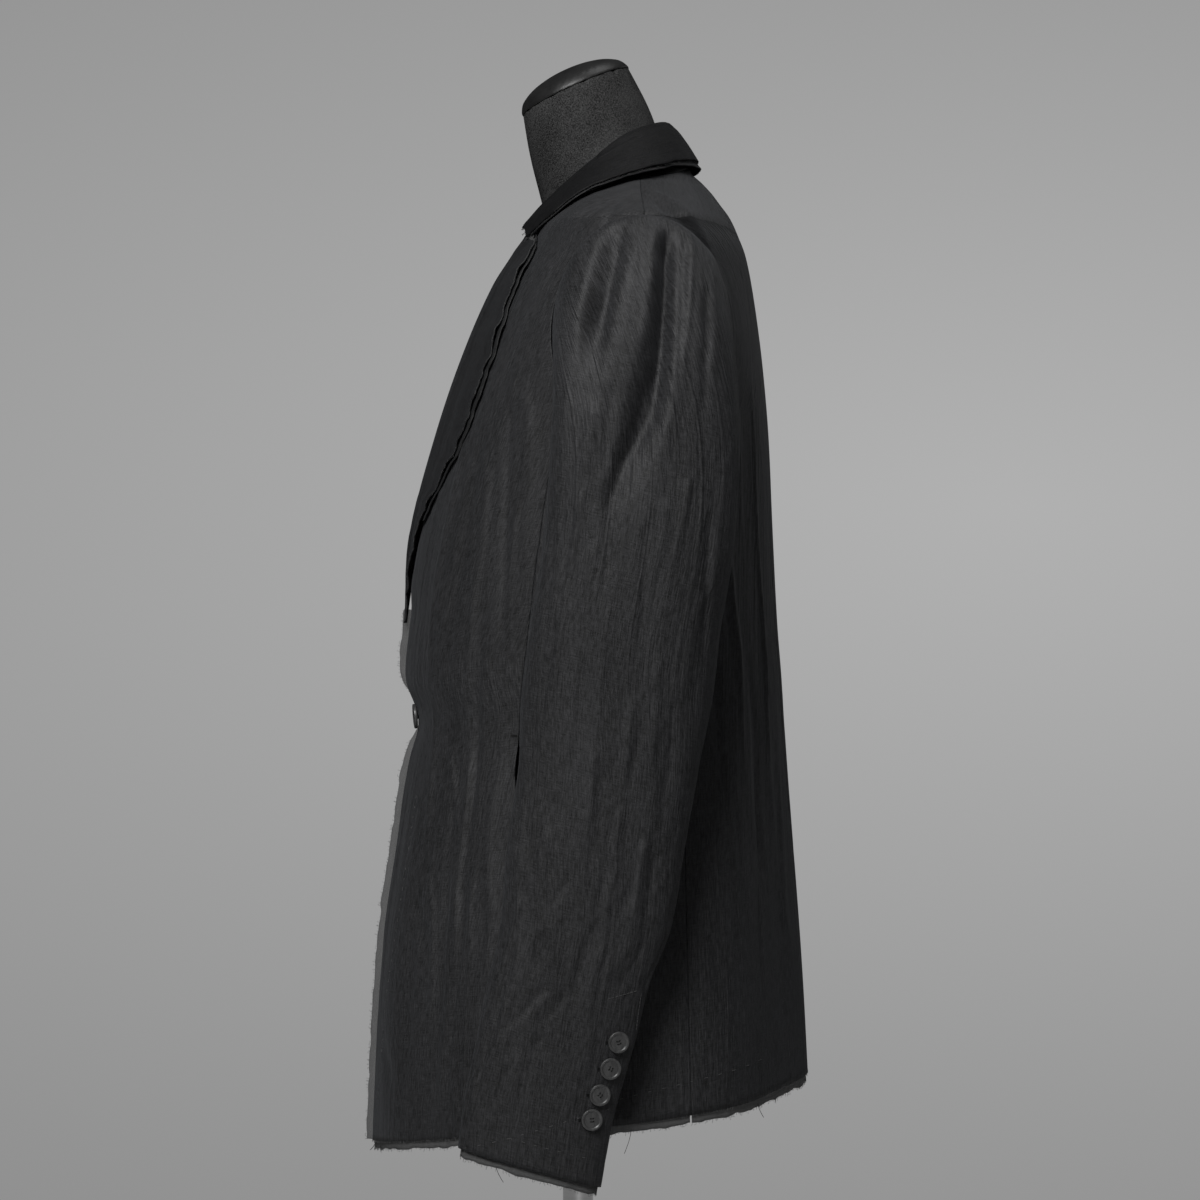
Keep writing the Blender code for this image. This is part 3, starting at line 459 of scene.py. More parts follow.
def roll_x(z):
    """Roll line of the lapel, from the break to the side of the neck and the shoulder seam."""
    rise = np.maximum(0, (z - BREAK_HEIGHT) / (ROLL_NECK_HEIGHT - BREAK_HEIGHT))
    line = blend(ROLL_BREAK_X, ROLL_NECK_X, rise)
    neck = blend(ROLL_NECK_X, ROLL_TOP_X, ease(ROLL_NECK_HEIGHT, NECK_POINT, z))
    return np.where(z > ROLL_NECK_HEIGHT, neck, line)


def front_edge(z):
    rolled = ease(BREAK_HEIGHT - ROLL_BELOW, BREAK_HEIGHT + ROLL_ABOVE, z)
    edge = blend(FRONT_EDGE_X, roll_x(z), rolled)
    return share_of_x(z, edge)


def armhole_y(z, way):
    rise = np.minimum(1, np.abs(z - ARMHOLE_Z) / ARMHOLE_HALF_Z)
    return ARMHOLE_Y + way * ARMHOLE_HALF_Y * np.sqrt(1 - rise * rise)


def side_seam(z, seam_y, arm):
    """A seam beside the side panel, then the armhole's edge, then the shoulder seam."""
    low = share_of_y(z, seam_y(z))
    return np.where(z <= UNDERARM_JOIN, low, np.where(z < SHOULDER_TIP, arm, 0.5))


def front_seam(z):
    return side_seam(z, FRONT_SEAM_Y, np.minimum(0.5, share_of_y(z, armhole_y(z, -1))))


def back_seam(z):
    return side_seam(z, BACK_SEAM_Y, np.maximum(0.5, share_of_y(z, armhole_y(z, 1))))


POCKET_HEIGHT = 0.739
POCKET_LENGTH = 0.024
POCKET_OPEN = 0.0021


def share_step(z, t, distance):
    """Share of the girth that a short distance round the body covers."""
    span = np.linalg.norm(body_base(z, t + SHARE_PROBE) - body_base(z, t - SHARE_PROBE), axis=-1)
    return distance * 2 * SHARE_PROBE / span


def seam_gap(z, t, wide=0.0):
    return share_step(z, t, SEAM_HALF_GAP + wide)


def pocket(z):
    return POCKET_OPEN * bell((z - POCKET_HEIGHT) / POCKET_LENGTH) ** 2


def front_share(across, z):
    seam = front_seam(z)
    return blend(front_edge(z), seam - seam_gap(z, seam, pocket(z)), across)


def side_share(across, z):
    left = front_seam(z)
    right = back_seam(z)
    return blend(left + seam_gap(z, left, pocket(z)), right - seam_gap(z, right), across)


def back_share(across, z):
    left = back_seam(z)
    return blend(left + seam_gap(z, left), 1.0 - seam_gap(z, 0.99), across)


# %% Rows of the panels
GRID_ACROSS = 0.00155         # about: size of one facet of cloth; creases run along the cloth,
GRID_ALONG = 0.0070           # so it needs more columns than rows
ROWS_BESIDE = 36              # rows beside the armhole, and over the shoulder
PLACING_ROUNDS = 4            # a point's height and its girth share settle in turns
UNDERARM_CURVE = 0.7


def steps(length, size=GRID_ACROSS):
    return max(2, round(length / size))


def panel_rows(top):
    """Rising shares of each row: below the armhole, beside it, and over the shoulder."""
    low = np.linspace(0, 1, steps(UNDERARM_JOIN - HEM_FRONT, GRID_ALONG) + 1)
    if top == "underarm":
        return low
    lowest = math.asin((UNDERARM_JOIN - ARMHOLE_Z) / ARMHOLE_HALF_Z)
    turn = np.linspace(lowest, math.pi / 2, ROWS_BESIDE)[1:]
    height = ARMHOLE_Z + ARMHOLE_HALF_Z * np.sin(turn)
    beside = 1 + (height - UNDERARM_JOIN) / (SHOULDER_TIP - UNDERARM_JOIN)
    over = 2 + np.linspace(0, 1, ROWS_BESIDE)[1:]
    return np.concatenate([low, beside, over])


def row_height(row, t, join, neck):
    """Height of a row: 0 is the hem, 1 the underarm, 2 the shoulder tip and 3 the neck."""
    low = blend(hem(t), join, np.minimum(row, 1))
    beside = blend(join, SHOULDER_TIP, np.clip(row - 1, 0, 1))
    # Over the shoulder the sections shrink unevenly, so rows follow the width that is left.
    over = blend(SHOULDER_TIP, neck, shoulder_rise(np.clip(row - 2, 0, 1)))
    return np.where(row <= 1, low, np.where(row <= 2, beside, over))


def shoulder_rise(share):
    """Share of the climb over the shoulder at a share of the shoulder seam's length."""
    heights = np.linspace(SHOULDER_TIP, NECK_POINT, 60)
    seam = body_base(heights, np.full(60, 0.5))
    length = way_along(seam)
    at = np.interp(share, length / length[-1], heights)
    return (at - SHOULDER_TIP) / (NECK_POINT - SHOULDER_TIP)


def underarm(t, z_join):
    """Height of the side panel's hollow top edge."""
    left = front_seam(np.array(z_join))
    right = back_seam(np.array(z_join))
    across = np.clip((t - left) / (right - left), 0, 1)
    dip = z_join - (ARMHOLE_Z - ARMHOLE_HALF_Z)
    return z_join - dip * np.sin(np.pi * across) ** UNDERARM_CURVE


def panel_place(kind, across, row):
    """Height and girth share of each point of a panel."""
    guess, rule = {"front": (0.2, front_share), "side": (0.4, side_share),
                   "back": (0.8, back_share)}[kind]
    t = np.full_like(across, guess)
    for _ in range(PLACING_ROUNDS):
        join = np.full_like(across, UNDERARM_JOIN)
        neck = np.full_like(across, NECK_POINT)
        if kind == "side":
            join = underarm(t, UNDERARM_JOIN)
        if kind == "back":
            neck = blend(NECK_POINT, NECK_BACK, ease(0.5, 1.0, t))
        z = row_height(row, np.maximum(0, t), join, neck)
        t = rule(across, z)
    return z, t


print("rows of a front:", len(panel_rows("neck")), "rows of a side:", len(panel_rows("underarm")))


# %% [markdown]
# ## Creases
# A crease is a long soft ridge (depth above 0) or trough (below 0) that wanders a little and fades
# out at both ends. The large ones are placed one by one from what the picture shows. Between them a
# seeded spread of small ones gives the crinkle that washing leaves, with no two of one length.

# %% Creases
Crease = namedtuple("Crease", "across top length width depth lean")


def crease_height(table, across, up):
    """Height of all creases of a table at places across and up, both in metres."""
    height = np.zeros_like(across)
    for number, c in enumerate(table):
        down = (c.top - up) / c.length
        wander = 0.6 * np.sin(down * 7 + number * 1.7) + 0.3 * np.sin(down * 19 + number)
        middle = c.across + c.lean * down + wander * c.width
        ends = ease(0, 0.28, down) * (1 - ease(0.60, 1.0, down))
        height += c.depth * ends * bell((across - middle) / c.width)
    return height


Crinkles = namedtuple("Crinkles", "count across up length width depth lean")


def crinkles(seed, kinds):
    """Seeded table of small creases; each kind gives a count and ranges (low, high)."""
    rows = []
    for number, kind in enumerate(kinds):
        rng = np.random.default_rng(seed + number)
        for _ in range(kind.count):
            size = rng.uniform(*kind.length)
            rows.append(Crease(rng.uniform(*kind.across), rng.uniform(*kind.up) + size / 2, size,
                               rng.uniform(*kind.width),
                               rng.uniform(*kind.depth) * rng.choice((-1, 1)),
                               rng.normal(0, kind.lean)))
    return rows


Path = namedtuple("Path", "width depth places")
PATH_START = 0.07
PATH_HOLD = 0.55


def path_height(table, y, z, grow=1.0):
    """Height of the creases of a table of paths, in millimetres, at places y and z in metres."""
    height = np.zeros_like(y)
    for path in table:
        places = np.array(path.places, float) / 1000
        spans = np.diff(places, axis=0)
        size = np.linalg.norm(spans, axis=1)
        starts = np.concatenate([[0], np.cumsum(size)])
        near = np.full_like(y, 1e9)
        along = np.zeros_like(y)
        for place, span, length, start in zip(places, spans, size, starts):
            share = ((y - place[0]) * span[0] + (z - place[1]) * span[1]) / length ** 2
            share = np.clip(share, 0, 1)
            gap = np.hypot(y - place[0] - share * span[0], z - place[1] - share * span[1])
            nearer = gap < near
            near = np.where(nearer, gap, near)
            along = np.where(nearer, start + share * length, along)
        way = along / starts[-1]
        ends = ease(0, PATH_START, way) * (1 - 0.9 * ease(PATH_HOLD, 1.0, way))
        height += grow * path.depth / 1000 * ends * bell(near / (path.width / 1000))
    return height


# %% [markdown]
# ## Sheets of cloth
# Every piece becomes a mesh the same way: a grid of points, faces between them, a UV map in metres
# along the grain, and a Solidify modifier for the wall, which grows inwards from the outer face.
# The UV map is measured on the smooth grid, which is the cut of the piece before it is creased.

# %% Cloth builder
def lengths_along(grid, axis):
    gaps = np.linalg.norm(np.diff(grid, axis=axis), axis=-1)
    start = np.zeros_like(np.take(gaps, [0], axis=axis))
    return np.concatenate([start, np.cumsum(gaps, axis=axis)], axis=axis)


def mirrored(grid):
    return grid * np.array([-1.0, 1.0, 1.0])


def new_mesh(name, verts, faces, material, uv=None):
    """Mesh object from arrays; uv holds one pair for each point."""
    mesh = bpy.data.meshes.new(name)
    mesh.from_pydata(verts.reshape(-1, 3), [], faces)
    if uv is not None:
        layer = mesh.uv_layers.new(name="grain")
        loops = np.zeros(len(mesh.loops), np.int32)
        mesh.loops.foreach_get("vertex_index", loops)
        layer.data.foreach_set("uv", uv.reshape(-1, 2)[loops].astype(np.float32).ravel())
    mesh.shade_smooth()
    mesh.materials.append(material)
    return add_object(name, mesh)


def grid_faces(rows, columns):
    index = np.arange(rows * columns).reshape(rows, columns)
    left, right = index[:, :-1], index[:, 1:]
    quads = np.stack([left[:-1], right[:-1], right[1:], left[1:]], axis=-1)
    return quads.reshape(-1, 4)


SURFACES = {}                 # outer faces by name, for the stitches and frays laid on them


def cloth(name, grid, flat, side=1, wall=WALL, material=None, slot="jacket_cloth", node=None,
          held="stretched", rests_on=("form_body",)):
    """Cloth piece from the grid of its outer face; flat is the same piece before its creases."""
    rows, columns = grid.shape[:2]
    faces = grid_faces(rows, columns)
    if side < 0:
        faces = faces[:, ::-1]
        grid = mirrored(grid)
    SURFACES[name] = grid
    grain = np.stack([lengths_along(flat, 1), lengths_along(flat, 0)], axis=-1)
    piece = new_mesh(name, grid, faces, material or JACKET, grain)
    solid = piece.modifiers.new("wall", "SOLIDIFY")
    solid.thickness = wall
    solid.offset = -1
    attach(piece, "root")
    if node:
        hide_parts(*node)
    return piece


# %% [markdown]
# ## Front, side and back panels
# The largest creases of the body run down it: straight pressed lines from the button and the
# pocket, a soft shadow in front of the arm, and streaks beside the centre-back seam. Their places
# across are girths from the centre front, in metres, and their tops are heights.

# %% Body panels
BODY_CREASES = (
    Crease(0.046, 0.770, 0.280, 0.0030, 0.0014, 0.010),
    Crease(0.078, 1.060, 0.420, 0.0030, 0.0009, -0.006),
    Crease(0.128, 0.640, 0.190, 0.0070, -0.0018, -0.010),
    Crease(0.165, 0.700, 0.260, 0.0050, 0.0018, 0.012),
    Crease(0.188, 0.900, 0.330, 0.0060, -0.0020, -0.004),
    Crease(0.214, 0.800, 0.340, 0.0070, 0.0020, 0.008),
    Crease(0.300, 0.840, 0.330, 0.0080, -0.0024, 0.006),
    Crease(0.352, 0.930, 0.420, 0.0060, 0.0016, -0.008),
    Crease(0.415, 0.990, 0.300, 0.0060, -0.0018, 0.004),
    Crease(0.446, 1.060, 0.380, 0.0050, 0.0018, 0.010),
    Crease(0.478, 0.850, 0.340, 0.0060, -0.0020, -0.006),
    Crease(0.505, 1.090, 0.500, 0.0040, 0.0016, 0.008),
    Crease(0.530, 0.800, 0.280, 0.0060, 0.0018, -0.006),
    Crease(0.556, 1.000, 0.450, 0.0040, -0.0014, 0.004),
)
BODY_CRINKLES = (
    Crinkles(60, (0.0, 0.6), (0.45, 1.15), (0.10, 0.34), (0.0022, 0.0056), (0.0003, 0.0008), 0.010),
    Crinkles(190, (0.0, 0.6), (0.43, 1.18), (0.03, 0.12), (0.0016, 0.0036), (0.0002, 0.0005), 0.012),
)
SEEDS = {"front": 11, "side": 23, "back": 37}
# The far half has its own small creases, and the large ones a little moved and softer.
RIGHT_SEED = 100
RIGHT_SHIFT = 0.007
RIGHT_PATHS_BACK = 0.005
RIGHT_PATHS_UP = 0.012
RIGHT_PATHS_SHARE = 0.8
SHOULDER_PRESSED = 0.7        # how much of the creasing the pressed shoulder loses
SHOULDER_HEIGHTS = (1.10, 1.19)
PAD_EDGE_X = (0.10, 0.13)     # the pad's edge shows from here outwards
LAP_SHARES = (0.03, 0.12)
RECESS_SHARES = (0.05, 0.20)

# Paths as the side view shows them, in millimetres back from the stand's axis and up.
FRONT_PATHS = (
    Path(2.4, 1.8, ((-80, 1038), (-92, 974), (-102, 924), (-112, 873), (-115, 831), (-114, 790))),
    Path(2.1, 1.5, ((-72, 991), (-70, 958), (-73, 907), (-80, 873), (-83, 831), (-90, 790))),
    Path(4.0, -1.7, ((-76, 1000), (-82, 950), (-88, 907), (-97, 860), (-101, 800))),
    Path(1.9, 1.3, ((-104, 882), (-109, 840))),
    Path(5.6, 1.7, ((-40, 1040), (-36, 980), (-38, 900), (-34, 820), (-36, 740))),
    Path(3.2, -1.8, ((-52, 1030), (-54, 960), (-57, 880), (-60, 800))),
    Path(2.1, 1.7, ((-111, 762), (-116, 707), (-118, 670))),
    Path(2.1, 2.0, ((-82, 755), (-88, 703), (-95, 646), (-96, 600), (-100, 543), (-102, 514))),
    Path(1.9, 1.4, ((-100, 755), (-95, 703), (-94, 666))),
    Path(3.2, -1.7, ((-92, 750), (-99, 690), (-103, 640), (-105, 590), (-108, 540))),
    Path(2.2, 1.8, ((-116, 652), (-114, 612), (-116, 553), (-127, 507))),
    Path(4.0, -2.1, ((-127, 639), (-121, 610), (-119, 594))),
    Path(4.0, -2.2, ((-154, 528), (-147, 500), (-143, 476))),
    Path(2.2, 1.5, ((-118, 559), (-130, 520), (-138, 489))),
    Path(2.1, 1.4, ((-82, 657), (-84, 621), (-83, 575))),
    Path(2.4, 1.4, ((-97, 500), (-93, 461))),
    Path(4.0, -1.8, ((-70, 640), (-72, 590), (-70, 530), (-66, 480))),
    Path(2.4, 1.5, ((-60, 600), (-58, 550), (-52, 500), (-50, 470))),
)
# Beside the armhole the pad's edge shows as a ridge with a hollow inside it.
SHOULDER_PATHS = (
    Path(5.0, 2.0, ((-12, 1166), (9, 1181), (38, 1189), (60, 1188), (81, 1175), (96, 1155),
                    (110, 1122), (118, 1080))),
    Path(4.0, -2.6, ((58, 1182), (72, 1172), (86, 1158), (98, 1136), (108, 1100), (114, 1060))),
    Path(3.0, -1.8, ((31, 1180), (25, 1166), (20, 1150))),
    Path(3.0, -1.6, ((70, 1168), (62, 1176))),
)


def lap_out(t, side):
    """The left front lies over the right one, near the centre only."""
    return side * LAP * (1 - ease(*LAP_SHARES, t))


def panel_crease(kind, z, t, side):
    girth = t * HALF_GIRTH
    large = crease_height(BODY_CREASES, girth + (0 if side > 0 else RIGHT_SHIFT), z)
    seed = SEEDS[kind] + (0 if side > 0 else RIGHT_SEED)
    small = crease_height(crinkles(seed, BODY_CRINKLES), girth, z)
    shoulder = 1 - SHOULDER_PRESSED * ease(*SHOULDER_HEIGHTS, z)
    base = body_base(z, t)
    y, up = base[..., 1], z
    if side < 0:
        y, up = y + RIGHT_PATHS_BACK, z + RIGHT_PATHS_UP
    placed = path_height(SHOULDER_PATHS, y, up) * ease(*PAD_EDGE_X, base[..., 0])
    if kind == "front":
        placed = placed + path_height(FRONT_PATHS, y, up, 1.0 if side > 0 else RIGHT_PATHS_SHARE)
    return (large + small) * shoulder + placed


EDGE_RECESS = 0.0032
CURL_HEIGHTS = (0.885, 0.860)        # the raw edge starts to stand free between these two
PINCH_HEIGHT = 0.780          # the front button pulls the edge in here
PINCH_LENGTH = 0.024
BUTTON_PLACE = (0.0364, 0.7768)      # girth from the centre and height of the front button
BUTTON_PULL = 0.0030
BUTTON_PULL_SIZE = (0.024, 0.015)


def edge_curl(z):
    """How freely the raw edge stands forward: not above the break, and hardly at the button."""
    return ease(*CURL_HEIGHTS, z) * (1 - 0.85 * bell((z - PINCH_HEIGHT) / PINCH_LENGTH))


def front_out(z, t, side):
    """Lift of the front panel: the lap, less a little where the raw edge curls forward."""
    recess = EDGE_RECESS * edge_curl(z) * (1 - ease(*RECESS_SHARES, t))
    across = (t * HALF_GIRTH - BUTTON_PLACE[0]) / BUTTON_PULL_SIZE[0]
    pull = BUTTON_PULL * bell(np.hypot(across, (z - BUTTON_PLACE[1]) / BUTTON_PULL_SIZE[1]))
    return lap_out(t, side) - recess + (pull if side > 0 else 0.0)


def edge_quiet(across, row, top):
    """Share of the creasing that is left at a piece's sewn edges, where the seam holds it."""
    sides = ease(0, 0.10, across) * ease(0, 0.10, 1 - across)
    ends = ease(0, 0.10, top - row)
    return 0.25 + 0.75 * np.minimum(sides, ends)


def panel_grid(kind, side, columns):
    rows = panel_rows("underarm" if kind == "side" else "neck")
    across, row = np.meshgrid(np.linspace(0, 1, columns + 1), rows)
    z, t = panel_place(kind, across, row)
    out = front_out(z, t, side) if kind == "front" else 0.0
    flat = body_point(z, t, out, side)
    quiet = edge_quiet(across, row, rows[-1])
    creased = body_point(z, t, out + panel_crease(kind, z, t, side) * quiet, side)
    return flat, creased


PANEL_WIDTHS = {"front": 0.19, "side": 0.15, "back": 0.22}
for side_name, side in SIDES.items():
    for kind, width in PANEL_WIDTHS.items():
        flat_grid, creased_grid = panel_grid(kind, side, steps(width))
        cloth(f"cloth_{kind}_{side_name}", creased_grid, flat_grid, side,
              node=[f"{kind}_{side_name}"])


# %% [markdown]
# ## Sleeves
# A tailored sleeve has a wide top piece and a narrow under piece. Both lie on one tube through
# tilted rings, and the first ring is the armhole. The tube is smooth, so a spline through the rings
# gives the fine grid. The creases on its outer side are given as short paths over the side
# view, in millimetres back from the stand's axis and up from the floor: deep valleys under
# the gathered sleeve head, long diagonals down to the elbow, and broken creases above the cuff.

# %% Sleeve tables
SLEEVE_SQUARE = 2.2
SLEEVE_HEM_SLOPE = 0.030
SLEEVE_SLOPE_RINGS = 3
SLEEVE_FRONT_SEAM = 0.535     # in turns: 0 is the back edge, 0.25 the outer side, 0.5 the front
SLEEVE_BACK_SEAM = 0.965
SLEEVE_SEAM = 0.0036
ARMHOLE_INSIDE = 0.0011
ARMHOLE_OUT = 0.0006

Ring = namedtuple("Ring", "inner_x inner_z outer_x outer_z front back")
SLEEVE = (
    Ring(0.2010, 0.984, 0.2330, 1.1580, -0.0180, 0.1190),
    Ring(0.2040, 0.981, 0.2570, 1.1230, -0.0180, 0.1210),
    Ring(0.2055, 0.978, 0.2680, 1.0750, -0.0180, 0.1230),
    Ring(0.2060, 0.972, 0.2725, 1.0220, -0.0190, 0.1240),
    Ring(0.2050, 0.955, 0.2735, 0.9680, -0.0210, 0.1230),
    Ring(0.2010, 0.905, 0.2725, 0.9080, -0.0260, 0.1190),
    Ring(0.1960, 0.850, 0.2690, 0.8500, -0.0355, 0.1090),
    Ring(0.1950, 0.795, 0.2650, 0.7950, -0.0420, 0.1025),
    Ring(0.2000, 0.740, 0.2630, 0.7400, -0.0450, 0.0920),
    Ring(0.2060, 0.680, 0.2620, 0.6800, -0.0535, 0.0818),
    Ring(0.2110, 0.620, 0.2610, 0.6200, -0.0580, 0.0705),
    Ring(0.2150, 0.580, 0.2600, 0.5800, -0.0670, 0.0550),
    Ring(0.2180, 0.540, 0.2590, 0.5400, -0.0750, 0.0440),
    Ring(0.2205, 0.498, 0.2580, 0.4980, -0.0840, 0.0290),
    Ring(0.2220, 0.457, 0.2570, 0.4570, -0.0895, 0.0188),
)

SLEEVE_PATHS = (
    Path(8.5, -8.5, ((31, 1158), (28, 1134), (23, 1108), (17, 1081), (12, 1055), (6, 1030))),
    Path(11.0, -4.5, ((24, 1142), (17, 1112), (13, 1085), (9, 1055))),
    Path(5.0, -8.0, ((71, 1158), (70, 1130), (68, 1104), (65, 1073), (62, 1035), (57, 1008),
                     (47, 990), (36, 972), (28, 950))),
    Path(12.0, -10.0, ((72, 1152), (71, 1116), (66, 1073), (58, 1035), (48, 1000), (38, 970),
                       (30, 940), (25, 905))),
    Path(5.0, 2.2, ((73, 1060), (71, 1020), (66, 990), (60, 950))),
    Path(4.3, 2.2, ((17, 1146), (7, 1112), (2, 1080), (-2, 1040))),
    Path(1.9, -1.9, ((50, 1157), (50, 1134), (47, 1106))),
    Path(4.3, 2.2, ((59, 1157), (58, 1119), (52, 1075), (43, 1040))),
    Path(5.0, -2.9, ((58, 1046), (45, 1000), (30, 965), (20, 920))),
    Path(3.6, 2.3, ((78, 1150), (75, 1104), (74, 1045), (76, 1000))),
    Path(2.2, -1.6, ((83, 1140), (81, 1075), (76, 1028))),
    Path(2.3, 1.9, ((88, 1148), (86, 1104), (83, 1075), (80, 1052), (79, 1000))),
    Path(3.6, -1.7, ((100, 1110), (98, 1050), (95, 985))),
    Path(3.6, -1.9, ((27, 1032), (23, 993), (19, 955))),
    Path(4.3, 1.9, ((14, 1020), (9, 985), (6, 950))),
    Path(2.6, 1.9, ((8, 962), (-1, 920), (-7, 880), (-13, 831), (-20, 790), (-25, 766), (-29, 725))),
    Path(3.2, -1.3, ((0, 940), (-6, 900), (-12, 860))),
    Path(4.3, -1.9, ((26, 961), (24, 910), (24, 860))),
    Path(2.9, 1.3, ((13, 912), (9, 880), (5, 836))),
    Path(2.6, -1.6, ((54, 930), (51, 880), (48, 839), (41, 820))),
    Path(2.9, 1.6, ((67, 945), (65, 920), (62, 890))),
    Path(2.3, 1.6, ((85, 962), (80, 930), (70, 885))),
    Path(2.9, -1.6, ((100, 938), (98, 885), (97, 831), (94, 785))),
    Path(2.2, -1.3, ((26, 826), (27, 808), (29, 786))),
    Path(2.9, -1.4, ((5, 825), (2, 780), (-3, 730))),
    Path(2.9, 1.4, ((43, 800), (39, 760), (31, 712))),
    Path(2.2, -1.2, ((49, 776), (46, 760), (41, 738))),
    Path(3.6, 1.3, ((62, 830), (60, 780), (53, 730))),
    Path(3.6, -1.4, ((74, 800), (70, 750), (62, 700))),
    Path(3.6, 1.4, ((14, 760), (10, 715), (2, 670))),
    Path(3.6, -1.7, ((20, 745), (17, 700), (10, 655))),
    Path(2.0, 1.7, ((34, 716), (29, 685), (30, 666), (23, 648), (23, 630), (21, 608), (23, 592))),
    Path(2.2, -1.4, ((27, 706), (22, 680), (20, 655), (14, 626))),
    Path(3.6, -2.2, ((14, 627), (5, 603), (0, 583), (-4, 556))),
    Path(3.6, 1.7, ((20, 612), (13, 590), (9, 560), (7, 535))),
    Path(2.2, -1.3, ((-5, 662), (-13, 650), (-21, 637))),
    Path(2.0, -1.2, ((-20, 584), (-27, 575), (-38, 563), (-49, 554), (-60, 547), (-68, 538))),
    Path(2.9, 0.7, ((-22, 574), (-34, 557), (-48, 546), (-60, 538))),
    Path(3.0, -2.0, ((-27, 622), (-30, 604), (-29, 590), (-23, 578))),
    Path(3.0, 1.7, ((-18, 628), (-17, 608), (-15, 590))),
    Path(2.4, -1.6, ((-10, 600), (-8, 580), (-13, 556))),
    Path(2.3, 1.7, ((-40, 650), (-53, 603), (-64, 557), (-71, 520))),
    Path(2.9, -1.4, ((-47, 610), (-56, 575), (-66, 540))),
    Path(3.6, -1.6, ((-30, 700), (-36, 660), (-44, 622))),
    Path(3.6, 1.3, ((-20, 700), (-27, 660), (-33, 630))),
    Path(3.6, 1.3, ((52, 690), (47, 650), (38, 610))),
    Path(2.9, -1.3, ((60, 680), (54, 640), (46, 605))),
    Path(4.3, 1.2, ((-40, 530), (-48, 505), (-54, 480))),
    Path(3.6, -1.2, ((-28, 545), (-36, 520), (-42, 490))),
    Path(1.6, 0.9, ((24, 571), (36, 574), (48, 577))),
    Path(1.6, 0.9, ((48, 577), (48, 563), (45, 545))),
)
print("sleeve rings:", len(SLEEVE), "placed creases:", len(SLEEVE_PATHS))


# %% Smooth grids
def smooth_rows(rings, count):
    """Rows spaced evenly along a smooth spline through a few rings of points."""
    gaps = np.linalg.norm(np.diff(rings, axis=0), axis=-1).mean(axis=1)
    keys = np.concatenate([[0], np.cumsum(gaps)])
    slopes = np.gradient(rings, keys, axis=0)
    at = np.linspace(0, keys[-1], count)
    i = np.clip(np.searchsorted(keys, at, side="right") - 1, 0, len(gaps) - 1)
    s = ((at - keys[i]) / gaps[i])[:, None, None]
    step = gaps[i][:, None, None]
    return hermite(s, rings[i], rings[i + 1], slopes[i], slopes[i + 1], step)


def grid_normals(grid):
    """Outward directions of a grid whose rows and columns turn right-handed."""
    return unit(np.cross(np.gradient(grid, axis=1), np.gradient(grid, axis=0)))


# %% Sleeve pieces
def ring_points(ring, turn, drop=0.0):
    angle = 2 * np.pi * turn
    along = power(np.cos(angle), 2 / SLEEVE_SQUARE)
    across = power(np.sin(angle), 2 / SLEEVE_SQUARE)
    middle_x = (ring.inner_x + ring.outer_x) / 2
    middle_z = (ring.inner_z + ring.outer_z) / 2
    x = middle_x + (ring.outer_x - ring.inner_x) / 2 * across
    y = (ring.front + ring.back) / 2 + (ring.back - ring.front) / 2 * along
    z = middle_z + (ring.outer_z - ring.inner_z) / 2 * across - drop * (along + 1) / 2
    return points(x, y, z)


def armhole_points(turn):
    y = ARMHOLE_Y + (ARMHOLE_HALF_Y - ARMHOLE_INSIDE) * np.cos(2 * np.pi * turn)
    z = ARMHOLE_Z + (ARMHOLE_HALF_Z - ARMHOLE_INSIDE) * np.sin(2 * np.pi * turn)
    x = body_base(z, share_of_y(z, y))[..., 0] + ARMHOLE_OUT
    return points(x, y, z)


def sleeve_grid(turns, rows):
    """Smooth grid of a sleeve, from the cuff up to the armhole."""
    rings = [armhole_points(turns)]
    for number, ring in enumerate(SLEEVE, start=1):
        share = max(0.0, (number - len(SLEEVE) + SLEEVE_SLOPE_RINGS) / SLEEVE_SLOPE_RINGS)
        rings.append(ring_points(ring, turns, SLEEVE_HEM_SLOPE * share ** 1.5))
    return smooth_rows(np.stack(rings), rows)[::-1]


# Long ones, short ones, and more short ones round the elbow and the forearm.
SLEEVE_CRINKLES = (
    Crinkles(70, (-0.02, 0.31), (0.46, 1.12), (0.08, 0.26), (0.0026, 0.0066), (0.0004, 0.0010), 0.014),
    Crinkles(300, (-0.02, 0.31), (0.44, 1.14), (0.02, 0.10), (0.0015, 0.0034), (0.0001, 0.0005),
             0.016),
    Crinkles(70, (0.02, 0.17), (0.50, 0.72), (0.02, 0.07), (0.0015, 0.0032), (0.0003, 0.0008), 0.024),
)
SLEEVE_ROWS = 165
SLEEVE_WAY_ROUND = 0.31       # about: girth of the sleeve
VENT_TOP_HEIGHT = 0.572
VENT_FRONT_Y = -0.008
VENT_LEAN = 0.28
VENT_PLAIN = 0.9
CUFF_HEIGHT = 0.457
RIGHT_SLEEVE_SHIFT = 0.004
INNER_MIRROR_Y = 0.035        # the inner side has the same creases, mirrored about here and softer
INNER_SHARE = 0.45


